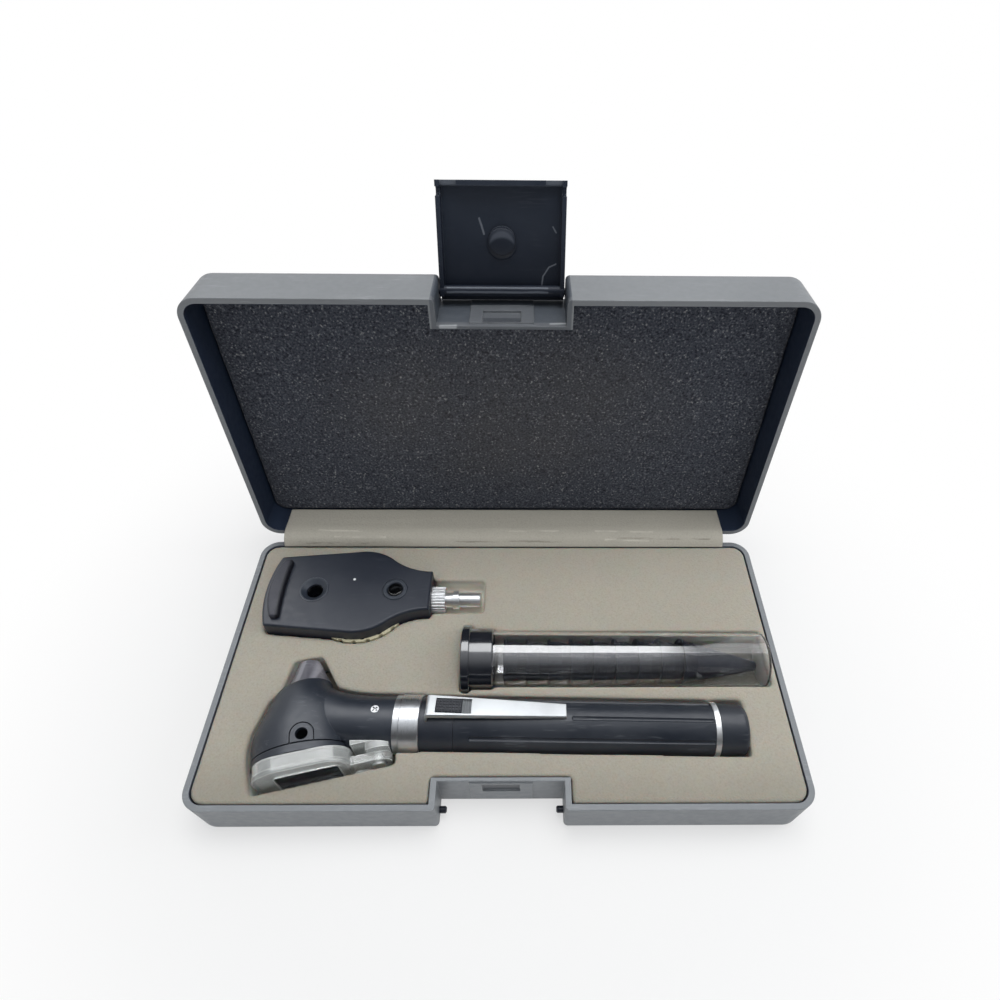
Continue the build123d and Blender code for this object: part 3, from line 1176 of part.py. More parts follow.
def all_nodes():
    """Every sub-part under its node name."""
    glass, carrier = scope_mirror()
    return {
        "base_shell": base_shell(),
        "lid_shell": lid_shell(),
        "hinge_pin_left": hinge_pin(-HINGE_X),
        "hinge_pin_right": hinge_pin(HINGE_X),
        "latch": latch(),
        "latch_pivot_pins": LID_SWING * notch_pins(PIVOT_Z),
        "catch_pins": notch_pins(PIN_RISE),
        "foam_tray": foam_tray(),
        "foam_sheet": foam_sheet(),
        "lid_foam": lid_foam(),
        "hinge_flap": hinge_flap(),
        "scope_front_shell": scope_front_shell(),
        "scope_rear_shell": scope_rear_shell(),
        "scope_brow_rest": brow_rest(),
        "scope_eyepiece_ring": eyepiece_ring(),
        "scope_eyepiece_glass": eyepiece_glass(),
        "scope_dioptre_bezel": dioptre_bezel(),
        "scope_dioptre_lens": dioptre_lens(),
        "scope_lens_wheel": lens_wheel(),
        "scope_wheel_lenses": wheel_lenses(),
        "scope_wheel_axle": wheel_axle(),
        "scope_plug_collar": plug_collar(),
        "scope_plug": plug(),
        "scope_lamp": scope_lamp(),
        "scope_mirror": glass,
        "scope_mirror_carrier": carrier,
        "scope_patient_window": patient_window(),
        "scope_shell_screws": Compound([SCOPE * screw for screw in shell_screws()]),
        "otoscope_head": otoscope_head(),
        "specula_mount": specula_mount(),
        "insufflation_port": insufflation_port(),
        "eyepiece_rim": eyepiece_rim(),
        "magnifier_bracket": magnifier_bracket(),
        "neck_screw": neck_screw(),
        "light_guide": light_guide(),
        "head_lamp": head_lamp(),
        "lamp_socket": lamp_socket(),
        "magnifier_frame": magnifier_frame(),
        "magnifier_lens": magnifier_lens(),
        "magnifier_pivot": magnifier_pivot(),
        "neck_ring": neck_ring(),
        "handle_collar": handle_collar(),
        "switch_housing": switch_housing(),
        "handle_barrel": handle_barrel(),
        "pocket_clip": pocket_clip(),
        "switch_guide": switch_guide(),
        "switch_slider": switch_slider(),
        "tail_ring": tail_ring(),
        "end_cap": end_cap(),
        "battery_front": battery(0),
        "battery_rear": battery(1),
        "battery_spring": battery_spring(),
        "front_contact": front_contact(),
        "specula_tube": specula_tube(),
        "specula_tube_cap": tube_cap(),
        "specula": Compound([speculum(index) for index in range(SPECULUM_COUNT)]),
    }


os.makedirs(PARTS, exist_ok=True)
for name, shape in all_nodes().items():
    export_step(shape, os.path.join(PARTS, name + ".step"))
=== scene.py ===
import bpy
import math
import numpy as np
from mathutils import Matrix, Vector, noise


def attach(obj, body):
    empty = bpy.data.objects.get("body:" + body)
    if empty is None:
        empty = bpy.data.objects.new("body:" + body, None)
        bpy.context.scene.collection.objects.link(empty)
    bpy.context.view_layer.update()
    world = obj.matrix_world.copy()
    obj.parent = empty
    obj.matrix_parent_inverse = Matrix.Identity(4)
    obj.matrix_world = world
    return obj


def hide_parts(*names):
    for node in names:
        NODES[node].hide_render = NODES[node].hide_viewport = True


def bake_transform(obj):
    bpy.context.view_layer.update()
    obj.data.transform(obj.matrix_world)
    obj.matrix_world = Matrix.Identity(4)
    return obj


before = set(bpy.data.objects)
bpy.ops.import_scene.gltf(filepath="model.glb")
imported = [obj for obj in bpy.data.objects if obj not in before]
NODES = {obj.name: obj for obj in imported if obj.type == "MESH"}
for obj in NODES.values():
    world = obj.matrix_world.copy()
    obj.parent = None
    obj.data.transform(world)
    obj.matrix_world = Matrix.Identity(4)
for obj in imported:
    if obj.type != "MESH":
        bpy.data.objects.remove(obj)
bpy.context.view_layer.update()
MM = 0.001

# Sizes and places from the source, in millimetres.
HINGE = (55.9, 18.6)  # (y, z) of the lid's axis
LID_OPEN = 95.0  # degrees
CASE = (205.0, 107.0, 38.0)
HALF_HEIGHT = CASE[2] / 2
WALL = 2.0
CORNER = 7.0  # radius of the case's corners
NOTCH = (23.0, -43.2)  # half width with its walls, and the far face of its back wall
PLATE_HALF = 10.5  # half width of the raised plate in the notch
HANDLE_YAW = -1.1  # degrees
SCOPE_AT = (-57.0, 26.1)  # middle of the ophthalmoscope's lens wheel
REST_HALF = 13.2
REST_INNER_X = -28.7  # middle of the brow rest's inner edge, from SCOPE_AT
REST_INNER_BOW = 0.8  # how far the ends of that edge bend back
BOSS_AT = (0.0, 88.5, 134.1)  # with lid and latch open
BOSS_R = 4.4
TUBE_AT = (-13.3, -0.3, 16.7)  # centre of the tube's open end
TUBE_OPEN_R = 10.8
TUBE_TAPER = 0.8 / 110.8  # radius lost for each millimetre along the tube

# Where tones, painted shade and painted light among them, start and end on the pieces, in millimetres.
WALL_SLACK = 0.12  # how far past a wall's inner face still counts as inside
NOTCH_SLACK = 0.1  # the same for the notch's walls
NOTCH_EDGE = 0.6  # offset of the notch's painted shadow from the faces in NOTCH
FLOOR_SKIN = 1.0  # outermost layer of the case's floor and lid top, which counts as outside
LID_NOTCH_Z = (21.4, 32.4)  # with the lid closed, where the notch's deeper painted shade starts and where it spans the notch's width
RECESS_HALF = 6.1  # shaded part of the recess in the notch's plate
RECESS_Y = (-44.0, 0.9)  # middle and half depth
RECESS_BASE = (13.1, 3.3)  # middle and half height, from the base's underside
RECESS_LID = (15.2, 2.1)  # the same, from the lid's top
DOT_AT = (-59.6, 30.8, 24.5)  # the ophthalmoscope's index dot
DOT_R = 0.5
TUBE_SKIN = 0.5  # depth of the tube's wall that counts as its outer face
TUBE_SHINE = (66, 86)  # from the open end, where the skin's gloss fades, a painted end to its highlight
TRAY_FRONT = (-52, -22)  # y over which the painted shade along the tray's front fades out
TRAY_POCKETS = (15.0, 18.6)  # z over which the painted light in its pockets fades out

# The strip over the hinge gap, in millimetres.
FLAP_X = (-93.3, 91.7)
FLAP_T = 0.6
FLAP_COLUMNS = 370
FLAP_STEP = 0.45
FLAP_PATH = (  # (y, z) from the tray's back edge, over both rims, to the lid foam
    (50.9, 19.4), (51.4, 20.2), (51.9, 21.3), (52.9, 22.5), (54.6, 23.4), (56.4, 23.7), (58.0, 23.6),
    (60.0, 23.35), (64.0, 23.15), (67.9, 23.0))
SHORT_CREASE_END = 20.0  # x at which the second crease stops


def srgb(r, g, b):
    """Linear colour from 8-bit sRGB values."""
    out = []
    for v in (r, g, b):
        v /= 255.0
        out.append(v / 12.92 if v <= 0.04045 else ((v + 0.055) / 1.055) ** 2.4)
    return (*out, 1.0)


GREY_WEAR = srgb(120, 124, 132)


# ---- materials -------------------------------------------------------------------------------
class Graph:
    """A node tree and the helpers that build it."""

    def __init__(self, tree, coord):
        self.tree = tree
        self.tree.nodes.clear()
        self.coord = self.node("ShaderNodeTexCoord").outputs[coord]

    def node(self, kind, inputs=None, **settings):
        n = self.tree.nodes.new(kind)
        for key, value in settings.items():
            setattr(n, key, value)
        for key, value in (inputs or {}).items():
            self.feed(n.inputs[key], value)
        return n

    def feed(self, socket, value):
        if isinstance(value, bpy.types.NodeSocket):
            self.tree.links.new(value, socket)
        else:
            socket.default_value = value

    def math(self, op, a, b=0.0, clamp=False):
        n = self.node("ShaderNodeMath", operation=op, use_clamp=clamp)
        self.feed(n.inputs[0], a)
        self.feed(n.inputs[1], b)
        return n.outputs[0]

    def product(self, *values):
        out = values[0]
        for value in values[1:]:
            out = self.math("MULTIPLY", out, value)
        return out

    def vec(self, op, a, b=(0, 0, 0)):
        n = self.node("ShaderNodeVectorMath", operation=op)
        self.feed(n.inputs[0], a)
        self.feed(n.inputs["Scale" if op == "SCALE" else 1], b)
        return n.outputs["Value"] if op in ("LENGTH", "DOT_PRODUCT", "DISTANCE") else n.outputs["Vector"]

    def ramp(self, value, low, high, to_low=0.0, to_high=1.0):
        """A smooth step of the value from to_low, at low, to to_high, at high."""
        n = self.node("ShaderNodeMapRange", {"Value": value, "From Min": low, "From Max": high,
                                             "To Min": to_low, "To Max": to_high},
                      interpolation_type="SMOOTHSTEP")
        return n.outputs[0]


class Shade(Graph):
    """A procedural material, in the object's own coordinates."""

    def __init__(self, name):
        self.mat = bpy.data.materials.new(name)
        self.mat.use_nodes = True
        super().__init__(self.mat.node_tree, "Object")
        self.bsdf = self.node("ShaderNodeBsdfPrincipled")
        self.node("ShaderNodeOutputMaterial", {"Surface": self.bsdf.outputs["BSDF"]})

    def set(self, **values):
        """Gives the surface a constant or a linked value for each named property."""
        names = {"color": "Base Color", "rough": "Roughness", "metal": "Metallic", "normal": "Normal",
                 "coat": "Coat Weight", "coat_rough": "Coat Roughness", "coat_ior": "Coat IOR",
                 "sheen": "Sheen Weight", "sheen_rough": "Sheen Roughness", "ior": "IOR",
                 "clear": "Transmission Weight", "specular": "Specular IOR Level",
                 "scatter": "Subsurface Weight", "scatter_reach": "Subsurface Scale"}
        for key, value in values.items():
            self.feed(self.bsdf.inputs[names[key]], value)

    def fed(self, key):
        """What is linked to one of the surface's inputs so far."""
        return self.bsdf.inputs[key].links[0].from_socket

    def split(self, vector):
        return self.node("ShaderNodeSeparateXYZ", {0: vector}).outputs

    def stretch(self, scale, turn=(0, 0, 0)):
        """The object's coordinates, turned by degrees and scaled along each axis."""
        turn = [math.radians(a) for a in turn]
        n = self.node("ShaderNodeMapping", {"Vector": self.coord, "Rotation": turn, "Scale": scale})
        return n.outputs[0]

    def noise(self, scale, detail=3.0, rough=0.55, vector=None):
        n = self.node("ShaderNodeTexNoise", {"Vector": vector or self.coord, "Scale": scale,
                                             "Detail": detail, "Roughness": rough})
        return n.outputs["Fac"]

    def cells(self, scale):
        return self.node("ShaderNodeTexVoronoi", {"Vector": self.coord, "Scale": scale}).outputs["Distance"]

    def mix(self, fac, a, b):
        n = self.node("ShaderNodeMix", data_type="RGBA")
        self.feed(n.inputs[0], fac)
        self.feed(n.inputs[6], a)
        self.feed(n.inputs[7], b)
        return n.outputs[2]

    def bump(self, height, depth, strength=1.0, under=None):
        n = self.node("ShaderNodeBump", {"Height": height, "Distance": depth, "Strength": strength})
        if under is not None:
            self.feed(n.inputs["Normal"], under)
        return n.outputs[0]

    def rounded(self, radius):
        """The normal, as if the edges were rounded by this radius."""
        return self.node("ShaderNodeBevel", {"Radius": radius}, samples=6).outputs[0]

    def edges(self, radius):
        """1 on convex and concave edges, 0 on flat faces."""
        flat = self.node("ShaderNodeNewGeometry").outputs["Normal"]
        away = self.math("SUBTRACT", 1.0, self.vec("DOT_PRODUCT", self.rounded(radius), flat))
        return self.ramp(away, 0.02, 0.25)

    def stroke(self, start, end, width):
        """1 on a thin, slightly unsteady mark between two points; all in millimetres."""
        a, b = Vector(start) * MM, Vector(end) * MM
        along = b - a
        sway = self.node("ShaderNodeTexNoise", {"Vector": self.coord, "Scale": 260.0}).outputs["Color"]
        wave = self.vec("SCALE", self.vec("SUBTRACT", sway, (0.5, 0.5, 0.5)), 0.0004)
        away = self.vec("SUBTRACT", self.vec("ADD", self.coord, wave), tuple(a))
        reach = self.vec("DOT_PRODUCT", away, tuple(along))
        share = self.math("DIVIDE", reach, along.length_squared, clamp=True)
        foot = self.vec("SCALE", tuple(along), share)
        gap = self.vec("LENGTH", self.vec("SUBTRACT", away, foot))
        return self.ramp(gap, width * MM * 0.3, width * MM, 1.0, 0.0)

    def spot(self, centre, radius, soft=0.3):
        """1 within a radius of a point, in millimetres, fading over a share of the radius."""
        gap = self.vec("DISTANCE", self.coord, tuple(Vector(centre) * MM))
        return self.ramp(gap, radius * MM * (1 - soft), radius * MM * (1 + soft), 1.0, 0.0)

    def scratches(self, scale, turn):
        """Sparse thin lines along one direction, where a stretched noise crosses one level."""
        level, width = 0.62, 0.06
        lines = self.noise(1.0, 2.0, 0.5, vector=self.stretch((scale, scale * 14, scale * 14), turn))
        near = self.ramp(self.math("ABSOLUTE", self.math("SUBTRACT", lines, level)), 0.0, width, 1.0, 0.0)
        patch = self.ramp(self.noise(scale * 1.3, 2.0), 0.52, 0.66)
        return self.math("MULTIPLY", near, patch)


def scuffed(shade, color, light, rough, amount):
    """Colour with soft blotches and thin scratches; it sets the roughness too."""
    blotch = shade.noise(38, 4)
    fine = shade.noise(420, 3)
    tone = shade.mix(shade.ramp(blotch, 0.3, 0.7), color, shade.mix(0.05, color, light))
    first, second = shade.scratches(55, (12, 0, 38)), shade.scratches(70, (0, 70, 118))
    lines = shade.math("MULTIPLY", shade.math("ADD", first, second, clamp=True), amount)
    shade.set(rough=shade.math("ADD", shade.ramp(fine, 0.3, 0.7, rough - 0.04, rough + 0.05),
                               shade.math("MULTIPLY", shade.ramp(blotch, 0.35, 0.65), 0.05)))
    return shade.mix(lines, tone, light)


def moulded(name, color, light, rough, grain, wear, scratch, depth=0.00002, edge=0.0006, coat=0.0,
            specular=0.5):
    """Moulded plastic with a fine eroded grain and pale edges, which are wear and on some parts painted
    highlight too.
    """
    s = Shade(name)
    tone = scuffed(s, color, light, rough, scratch)
    # pale edges: wear, and on some parts a painted highlight as well
    wear_and_highlight = s.math("MULTIPLY", s.edges(edge), s.ramp(s.noise(160, 3), 0.3, 0.7))
    s.set(color=s.mix(s.math("MULTIPLY", wear_and_highlight, wear), tone, light))
    s.set(normal=s.bump(s.noise(grain, 2.0), depth, under=s.rounded(edge * 0.6)), specular=specular)
    if coat:
        s.set(coat=coat, coat_rough=0.12, coat_ior=1.9)
    return s


def latch_plastic():
    """The latch's dark plastic, with its scratches and its domed boss; painted shade towards its lower end
    and over the boss, and painted highlights on the boss, the lip's corners and the hinge barrel.
    """
    s = moulded("latch_plastic", srgb(33, 40, 52), srgb(84, 89, 98), rough=0.42, grain=700, depth=0.00003,
                wear=0.45, scratch=0.12)
    tone = s.fed("Base Color")
    # painted shade: the latch darkens towards its lower end
    low = s.ramp(s.split(s.coord)[2], 0.118, 0.150)
    tone = s.mix(low, s.mix(0.8, tone, srgb(10, 16, 28)), tone)
    marks = s.stroke((-7.3, 91.5, 141.1), (-5.8, 89.7, 136.8), 0.45)
    for a, b in (((13.0, 82.6, 120.2), (13.6, 84.7, 124.9)), ((13.6, 84.7, 124.9), (15.5, 85.8, 127.5)),
                 ((15.5, 85.8, 127.5), (17.8, 86.1, 128.4)), ((16.6, 90.6, 138.8), (17.6, 89.9, 137.3))):
        marks = s.math("MAXIMUM", marks, s.stroke(a, b, 0.35))
    cx, cy, cz = BOSS_AT
    # painted shade over the boss, then a painted highlight on its upper part
    tone = s.mix(s.math("MULTIPLY", s.spot(BOSS_AT, BOSS_R, 0.1), 0.5), tone, srgb(12, 17, 28))
    shaded = s.spot((cx, cy - 1.2, cz - 3.1), 5.4, 0.1)
    lit_crescent = s.product(s.spot(BOSS_AT, 4.1, 0.12), s.math("SUBTRACT", 1.0, shaded), 0.55)
    tone = s.mix(lit_crescent, tone, srgb(80, 85, 95))
    # painted highlights on the top corners of the lip
    for side in (-1, 1):
        wear_and_highlight = s.stroke((side * 20.4, 94.0, 151.6), (side * 14.6, 94.0, 151.6), 1.5)
        tone = s.mix(s.math("MULTIPLY", wear_and_highlight, 0.5), tone, srgb(104, 109, 117))
    # two painted highlight lines along the hinge barrel
    for y, z in ((78.6, 122.4), (79.6, 123.4)):
        wear_and_highlight = s.stroke((-18.0, y, z), (15.0, y, z), 0.5)
        tone = s.mix(s.math("MULTIPLY", wear_and_highlight, 0.45), tone, srgb(104, 110, 120))
    s.set(color=s.mix(s.math("MULTIPLY", marks, 0.4), tone, srgb(132, 137, 146)), specular=0.35)
    dome_radius, dome_rise = 0.0050, 0.0010
    reach = s.vec("DISTANCE", s.coord, tuple(Vector(BOSS_AT) * MM))
    squared = s.math("POWER", s.math("DIVIDE", reach, dome_radius), 2.0)
    dome = s.math("SQRT", s.math("SUBTRACT", 1.0, squared, clamp=True))
    s.set(normal=s.bump(dome, dome_rise, under=s.fed("Normal")))
    return s.mat


def closed_point(s, lid):
    """The shading point as it lies in the closed case, in metres."""
    point = s.coord
    if lid:
        back = s.vec("SUBTRACT", point, (0, HINGE[0] * MM, HINGE[1] * MM))
        turned = s.node("ShaderNodeVectorRotate",
                        {"Vector": back, "Axis": (1, 0, 0), "Angle": math.radians(LID_OPEN)},
                        rotation_type="AXIS_ANGLE")
        point = s.vec("ADD", turned.outputs[0], (0, HINGE[0] * MM, HINGE[1] * MM))
    return point


def inside_mask(s, x, y, z):
    """1 on the faces inside the walls, and 0 outside and in the notch."""
    inner = CORNER - WALL
    half_x, half_y = CASE[0] / 2 - WALL - inner, CASE[1] / 2 - WALL - inner
    qx = s.math("MAXIMUM", s.math("SUBTRACT", x, half_x * MM), 0.0)
    qy = s.math("MAXIMUM", s.math("SUBTRACT", s.math("ABSOLUTE", y), half_y * MM), 0.0)
    reach = s.math("SQRT", s.math("ADD", s.math("MULTIPLY", qx, qx), s.math("MULTIPLY", qy, qy)))
    within = s.math("LESS_THAN", reach, (inner + WALL_SLACK) * MM)
    notch = s.product(s.math("LESS_THAN", x, (NOTCH[0] + NOTCH_SLACK) * MM),
                      s.math("LESS_THAN", y, (NOTCH[1] - NOTCH_SLACK) * MM))
    off_middle = s.math("ABSOLUTE", s.math("SUBTRACT", z, HALF_HEIGHT * MM))
    deep = s.math("LESS_THAN", off_middle, (HALF_HEIGHT - FLOOR_SKIN) * MM)
    return s.product(within, deep, s.math("SUBTRACT", 1.0, notch))


def lid_notch_tone(s, tone, light, x, y, z):
    """The lid's notch: painted shadow over it, deepest beside and beyond its plate, a painted highlight on
    the plate's edge and two painted glints.
    """
    start, full = LID_NOTCH_Z
    notch = s.product(s.math("LESS_THAN", x, (NOTCH[0] - NOTCH_EDGE) * MM),
                      s.math("LESS_THAN", y, (NOTCH[1] + NOTCH_EDGE) * MM))
    # painted shadow of the latch over the notch
    tone = s.mix(s.math("MULTIPLY", notch, 0.5), tone, srgb(44, 50, 60))
    # deeper painted shade beside and beyond the plate
    beside = s.product(notch, s.math("GREATER_THAN", x, PLATE_HALF * MM))
    beyond = s.product(notch, s.math("GREATER_THAN", z, full * MM))
    hollow = s.product(s.math("MAXIMUM", beside, beyond), s.math("GREATER_THAN", z, start * MM))
    tone = s.mix(s.math("MULTIPLY", hollow, 0.5), tone, srgb(36, 46, 58))
    # a painted highlight on the plate's edge and two painted glints on its ledge
    lit = s.stroke((-10.0, 77.8, 117.0), (9.6, 78.2, 116.9), 1.0)
    for a, b in (((-19.6, 65.2, 118.1), (-14.8, 65.4, 118.1)),
                 ((15.9, 66.7, 117.9), (20.6, 67.0, 117.9))):
        lit = s.math("MAXIMUM", lit, s.stroke(a, b, 0.9))
    return s.mix(s.math("MULTIPLY", lit, 0.6), tone, light)


def recess_mask(s, lid, x, y, z):
    """1 in the shaded part of the recess in the notch's plate."""
    rise = s.math("SUBTRACT", CASE[2] * MM, z) if lid else z
    middle, half = RECESS_LID if lid else RECESS_BASE
    middle_y, half_y = RECESS_Y
    high = s.math("LESS_THAN", s.math("ABSOLUTE", s.math("SUBTRACT", rise, middle * MM)), half * MM)
    across = s.math("LESS_THAN", s.math("ABSOLUTE", s.math("SUBTRACT", y, middle_y * MM)), half_y * MM)
    return s.product(s.math("LESS_THAN", x, RECESS_HALF * MM), high, across)


def shell_plastic(name, lid):
    """The case plastic: grained grey outside, and painted shade inside the walls, a darker copy of the same
    plastic that is darkest in the lid.
    """
    s = Shade(name)
    outside = srgb(105, 108, 111) if lid else srgb(108, 112, 116)
    light = srgb(182, 185, 188)
    # painted shade: the tones for the faces inside the walls, darkest in the lid
    inside = srgb(34, 44, 62) if lid else srgb(78, 83, 94)
    pale = srgb(52, 60, 76) if lid else srgb(90, 95, 104)
    side, y, z = s.split(closed_point(s, lid))
    x = s.math("ABSOLUTE", side)
    tone = scuffed(s, outside, light, 0.42, 0.12)
    # pale edges: wear, and a painted highlight as well
    wear_and_highlight = s.math("MULTIPLY", s.edges(0.0008), s.ramp(s.noise(140, 3), 0.25, 0.7, 0.35, 0.8))
    tone = s.mix(s.math("MULTIPLY", wear_and_highlight, 0.55), tone, light)
    if lid:
        tone = lid_notch_tone(s, tone, light, x, y, z)
    # painted shade in the recess of the notch's plate
    tone = s.mix(s.math("MULTIPLY", recess_mask(s, lid, x, y, z), 0.6), tone, srgb(30, 34, 42))
    dark = s.mix(s.ramp(s.noise(60, 3), 0.35, 0.7, 0.0, 0.25), inside, pale)
    s.set(color=s.mix(inside_mask(s, x, y, z), tone, dark))
    fine, coarse = s.noise(1100, 2), s.noise(420, 2)
    grain = s.math("ADD", s.math("MULTIPLY", fine, 0.7), s.math("MULTIPLY", coarse, 0.5))
    s.set(normal=s.bump(grain, 0.00003, 0.6, under=s.rounded(0.0005)), specular=0.45)
    return s.mat


def foam_shade(name, color, dark, light, grain, contrast, depth=0.0002):
    """Cut foam: fine dark pores and pale cell walls over slow changes of tone."""
    s = Shade(name)
    pores = s.noise(grain, 3.0, 0.6)
    tone = s.mix(s.ramp(pores, 0.30, 0.52, contrast, 0.0), color, dark)
    tone = s.mix(s.ramp(pores, 0.52, 0.72, 0.0, contrast), tone, light)
    tone = s.mix(s.ramp(s.noise(24, 3), 0.3, 0.7, 0.0, 0.12), tone, dark)
    height = s.math("ADD", s.math("MULTIPLY", pores, 0.7), s.math("MULTIPLY", s.cells(grain * 0.9), 0.5))
    s.set(color=tone, rough=0.95, specular=0.12, sheen=0.12, sheen_rough=0.5,
          normal=s.bump(height, depth, 0.7))
    return s


def tray_foam_shade():
    """The beige tray foam, with painted shade along its front edge and painted light down in its pockets,
    which lifts the shade there.
    """
    s = foam_shade("tray_foam", srgb(174, 169, 157), srgb(150, 145, 133), srgb(186, 182, 171), 1500, 0.35)
    tone = s.fed("Base Color")
    y = s.math("ADD", s.split(s.coord)[1], s.math("MULTIPLY", s.noise(22, 3), 0.012))
    # painted shade, darker along the front edge
    tone = s.mix(s.ramp(y, TRAY_FRONT[0] * MM, TRAY_FRONT[1] * MM, 0.50, 0.0), tone, srgb(118, 114, 104))
    # painted light: paler down in the pockets, where shade falls
    deep = s.ramp(s.split(s.coord)[2], TRAY_POCKETS[0] * MM, TRAY_POCKETS[1] * MM, 0.9, 0.0)
    s.set(color=s.mix(deep, tone, srgb(234, 231, 221)), scatter=0.35, scatter_reach=0.004)
    return s.mat


def flap_shade():
    """The hinge strip, in the tray's colour, with painted highlights along the crests of its creases and
    painted shade in their folds.
    """
    s = foam_shade("flap_cloth", srgb(178, 174, 163), srgb(156, 151, 140), srgb(190, 186, 176), 1500, 0.35)
    tone = s.fed("Base Color")
    pale, dark = 0.0, 0.0
    # painted highlights along the crests of the creases
    for x0, x1, y, z in ((-79, -61, 55.9, 23.8), (-72, -51, 53.4, 23.0), (-4, 22, 55.9, 23.8),
                         (38, 62, 55.7, 23.8), (42, 60, 52.4, 22.2)):
        pale = s.math("MAXIMUM", pale, s.stroke((x0, y, z), (x1, y - 0.2, z - 0.1), 0.7))
    # painted shade in the folds of the creases
    for x0, x1, y, z in ((-84, -58, 51.5, 20.9), (-22, -3, 51.9, 21.5), (-1, 23, 52.0, 21.7),
                         (47, 86, 52.8, 22.6)):
        dark = s.math("MAXIMUM", dark, s.stroke((x0, y, z), (x1, y - 0.1, z - 0.1), 0.6))
    broken = s.ramp(s.noise(1.0, 3.0, vector=s.stretch((160, 900, 900))), 0.38, 0.62)
    tone = s.mix(s.product(pale, broken, 0.4), tone, srgb(222, 219, 208))
    s.set(color=s.mix(s.product(dark, broken, 0.45), tone, srgb(98, 94, 84)))
    return s.mat


def metal(name, color, rough, streak_axis=None, grain=0.4):
    """Plated metal with fine turning or brushing marks."""
    s = Shade(name)
    scale = {None: (900, 900, 900), "x": (60, 2600, 2600), "round": (3200, 160, 160)}[streak_axis]
    turn = (0, 0, -HANDLE_YAW if streak_axis else 0)
    lines = s.noise(1.0, 3.0, 0.6, vector=s.stretch(scale, turn))
    smudge = s.noise(90, 4)
    s.set(color=s.mix(s.ramp(smudge, 0.35, 0.7, 0.0, 0.3), color, srgb(150, 150, 152)), metal=1.0,
          rough=s.math("ADD", s.ramp(lines, 0.3, 0.7, rough - 0.04, rough + 0.08),
                       s.ramp(smudge, 0.4, 0.7, 0.0, 0.06)),
          normal=s.bump(lines, 0.00001, grain, under=s.rounded(0.0003)))
    return s.mat


def recessed_metal(name, color, dark):
    """Bright metal with painted shade in its recess, from an occlusion test."""
    s = Shade(name)
    # painted shade: points hemmed in by nearby faces turn dark and lose their metal
    near = s.node("ShaderNodeAmbientOcclusion", {"Distance": 0.0006}, samples=8, only_local=True)
    shut = near.outputs["AO"]
    s.set(color=s.mix(s.ramp(shut, 0.45, 0.85), dark, color), metal=s.ramp(shut, 0.5, 0.8), specular=0.5,
          rough=s.ramp(s.noise(700, 3), 0.3, 0.7, 0.24, 0.36), normal=s.bump(s.noise(900, 2), 0.00001, 0.5))
    return s.mat


def clear(name, tint, rough, haze=0.0, ior=1.49, ripple=0.00004, coat_ior=1.5, marked=0.25, edge=0.0):
    """Clear moulded plastic or glass, with faint ripples, dust and scuffs; where edge is given, its edges
    let less light through as a painted highlight.
    """
    s = Shade(name)
    dust = s.math("MULTIPLY", s.ramp(s.cells(520), 0.0, 0.12, 1.0, 0.0), s.ramp(s.noise(210, 2), 0.55, 0.7))
    scuff = s.math("ADD", s.scratches(60, (0, 20, 25)), s.scratches(80, (0, 0, 100)), clamp=True)
    marks = s.math("ADD", s.math("MULTIPLY", dust, marked), s.math("MULTIPLY", scuff, marked), clamp=True)
    through = s.math("SUBTRACT", 1.0 - haze, s.math("MULTIPLY", marks, 0.5))
    # painted highlight: the edges grow less clear and show the pale tint
    if edge:
        rim = s.math("MULTIPLY", s.edges(edge), 0.55)
        through = s.math("SUBTRACT", through, rim, clamp=True)
    polish = s.ramp(s.noise(70, 3), 0.3, 0.7, rough, rough + 0.05)
    s.set(color=tint, ior=ior, coat_rough=0.04, coat_ior=coat_ior, clear=through,
          rough=s.math("ADD", polish, s.math("MULTIPLY", marks, 0.3)),
          normal=s.bump(s.noise(130, 2), ripple, 0.5))
    return s


def tube_plastic():
    """The specula tube's clear plastic, glossy on its outer face and plain on its bore; the gloss fades
    towards the closed end, a painted end to the mirrored highlight.
    """
    s = clear("tube_clear", srgb(240, 241, 243), 0.03, 0.0, 1.25, coat_ior=2.5)
    x, y, z = s.split(s.coord)
    y, z = s.math("SUBTRACT", y, TUBE_AT[1] * MM), s.math("SUBTRACT", z, TUBE_AT[2] * MM)
    radius = s.math("SQRT", s.math("ADD", s.math("MULTIPLY", y, y), s.math("MULTIPLY", z, z)))
    along = s.math("SUBTRACT", x, TUBE_AT[0] * MM)
    skin = s.math("SUBTRACT", (TUBE_OPEN_R - TUBE_SKIN) * MM, s.math("MULTIPLY", along, TUBE_TAPER))
    # painted reflection: the coat fades along the tube so that the highlight ends there
    shine = s.ramp(along, TUBE_SHINE[0] * MM, TUBE_SHINE[1] * MM, 0.9, 0.12)
    s.set(coat=s.math("MULTIPLY", s.math("GREATER_THAN", radius, skin), shine))
    return s.mat


def jacket_film():
    """The cells' grey jacket, slightly blotched."""
    s = Shade("cell_jacket")
    color = srgb(70, 74, 82)
    shadow = tuple(c * 0.6 for c in color[:3]) + (1.0,)
    s.set(color=s.mix(s.ramp(s.noise(90, 4), 0.3, 0.75, 0.0, 0.25), color, shadow),
          rough=s.ramp(s.noise(300, 3), 0.3, 0.7, 0.25, 0.38),
          normal=s.bump(s.noise(600, 3), 0.00002, 0.7, under=s.rounded(0.0003)))
    return s.mat


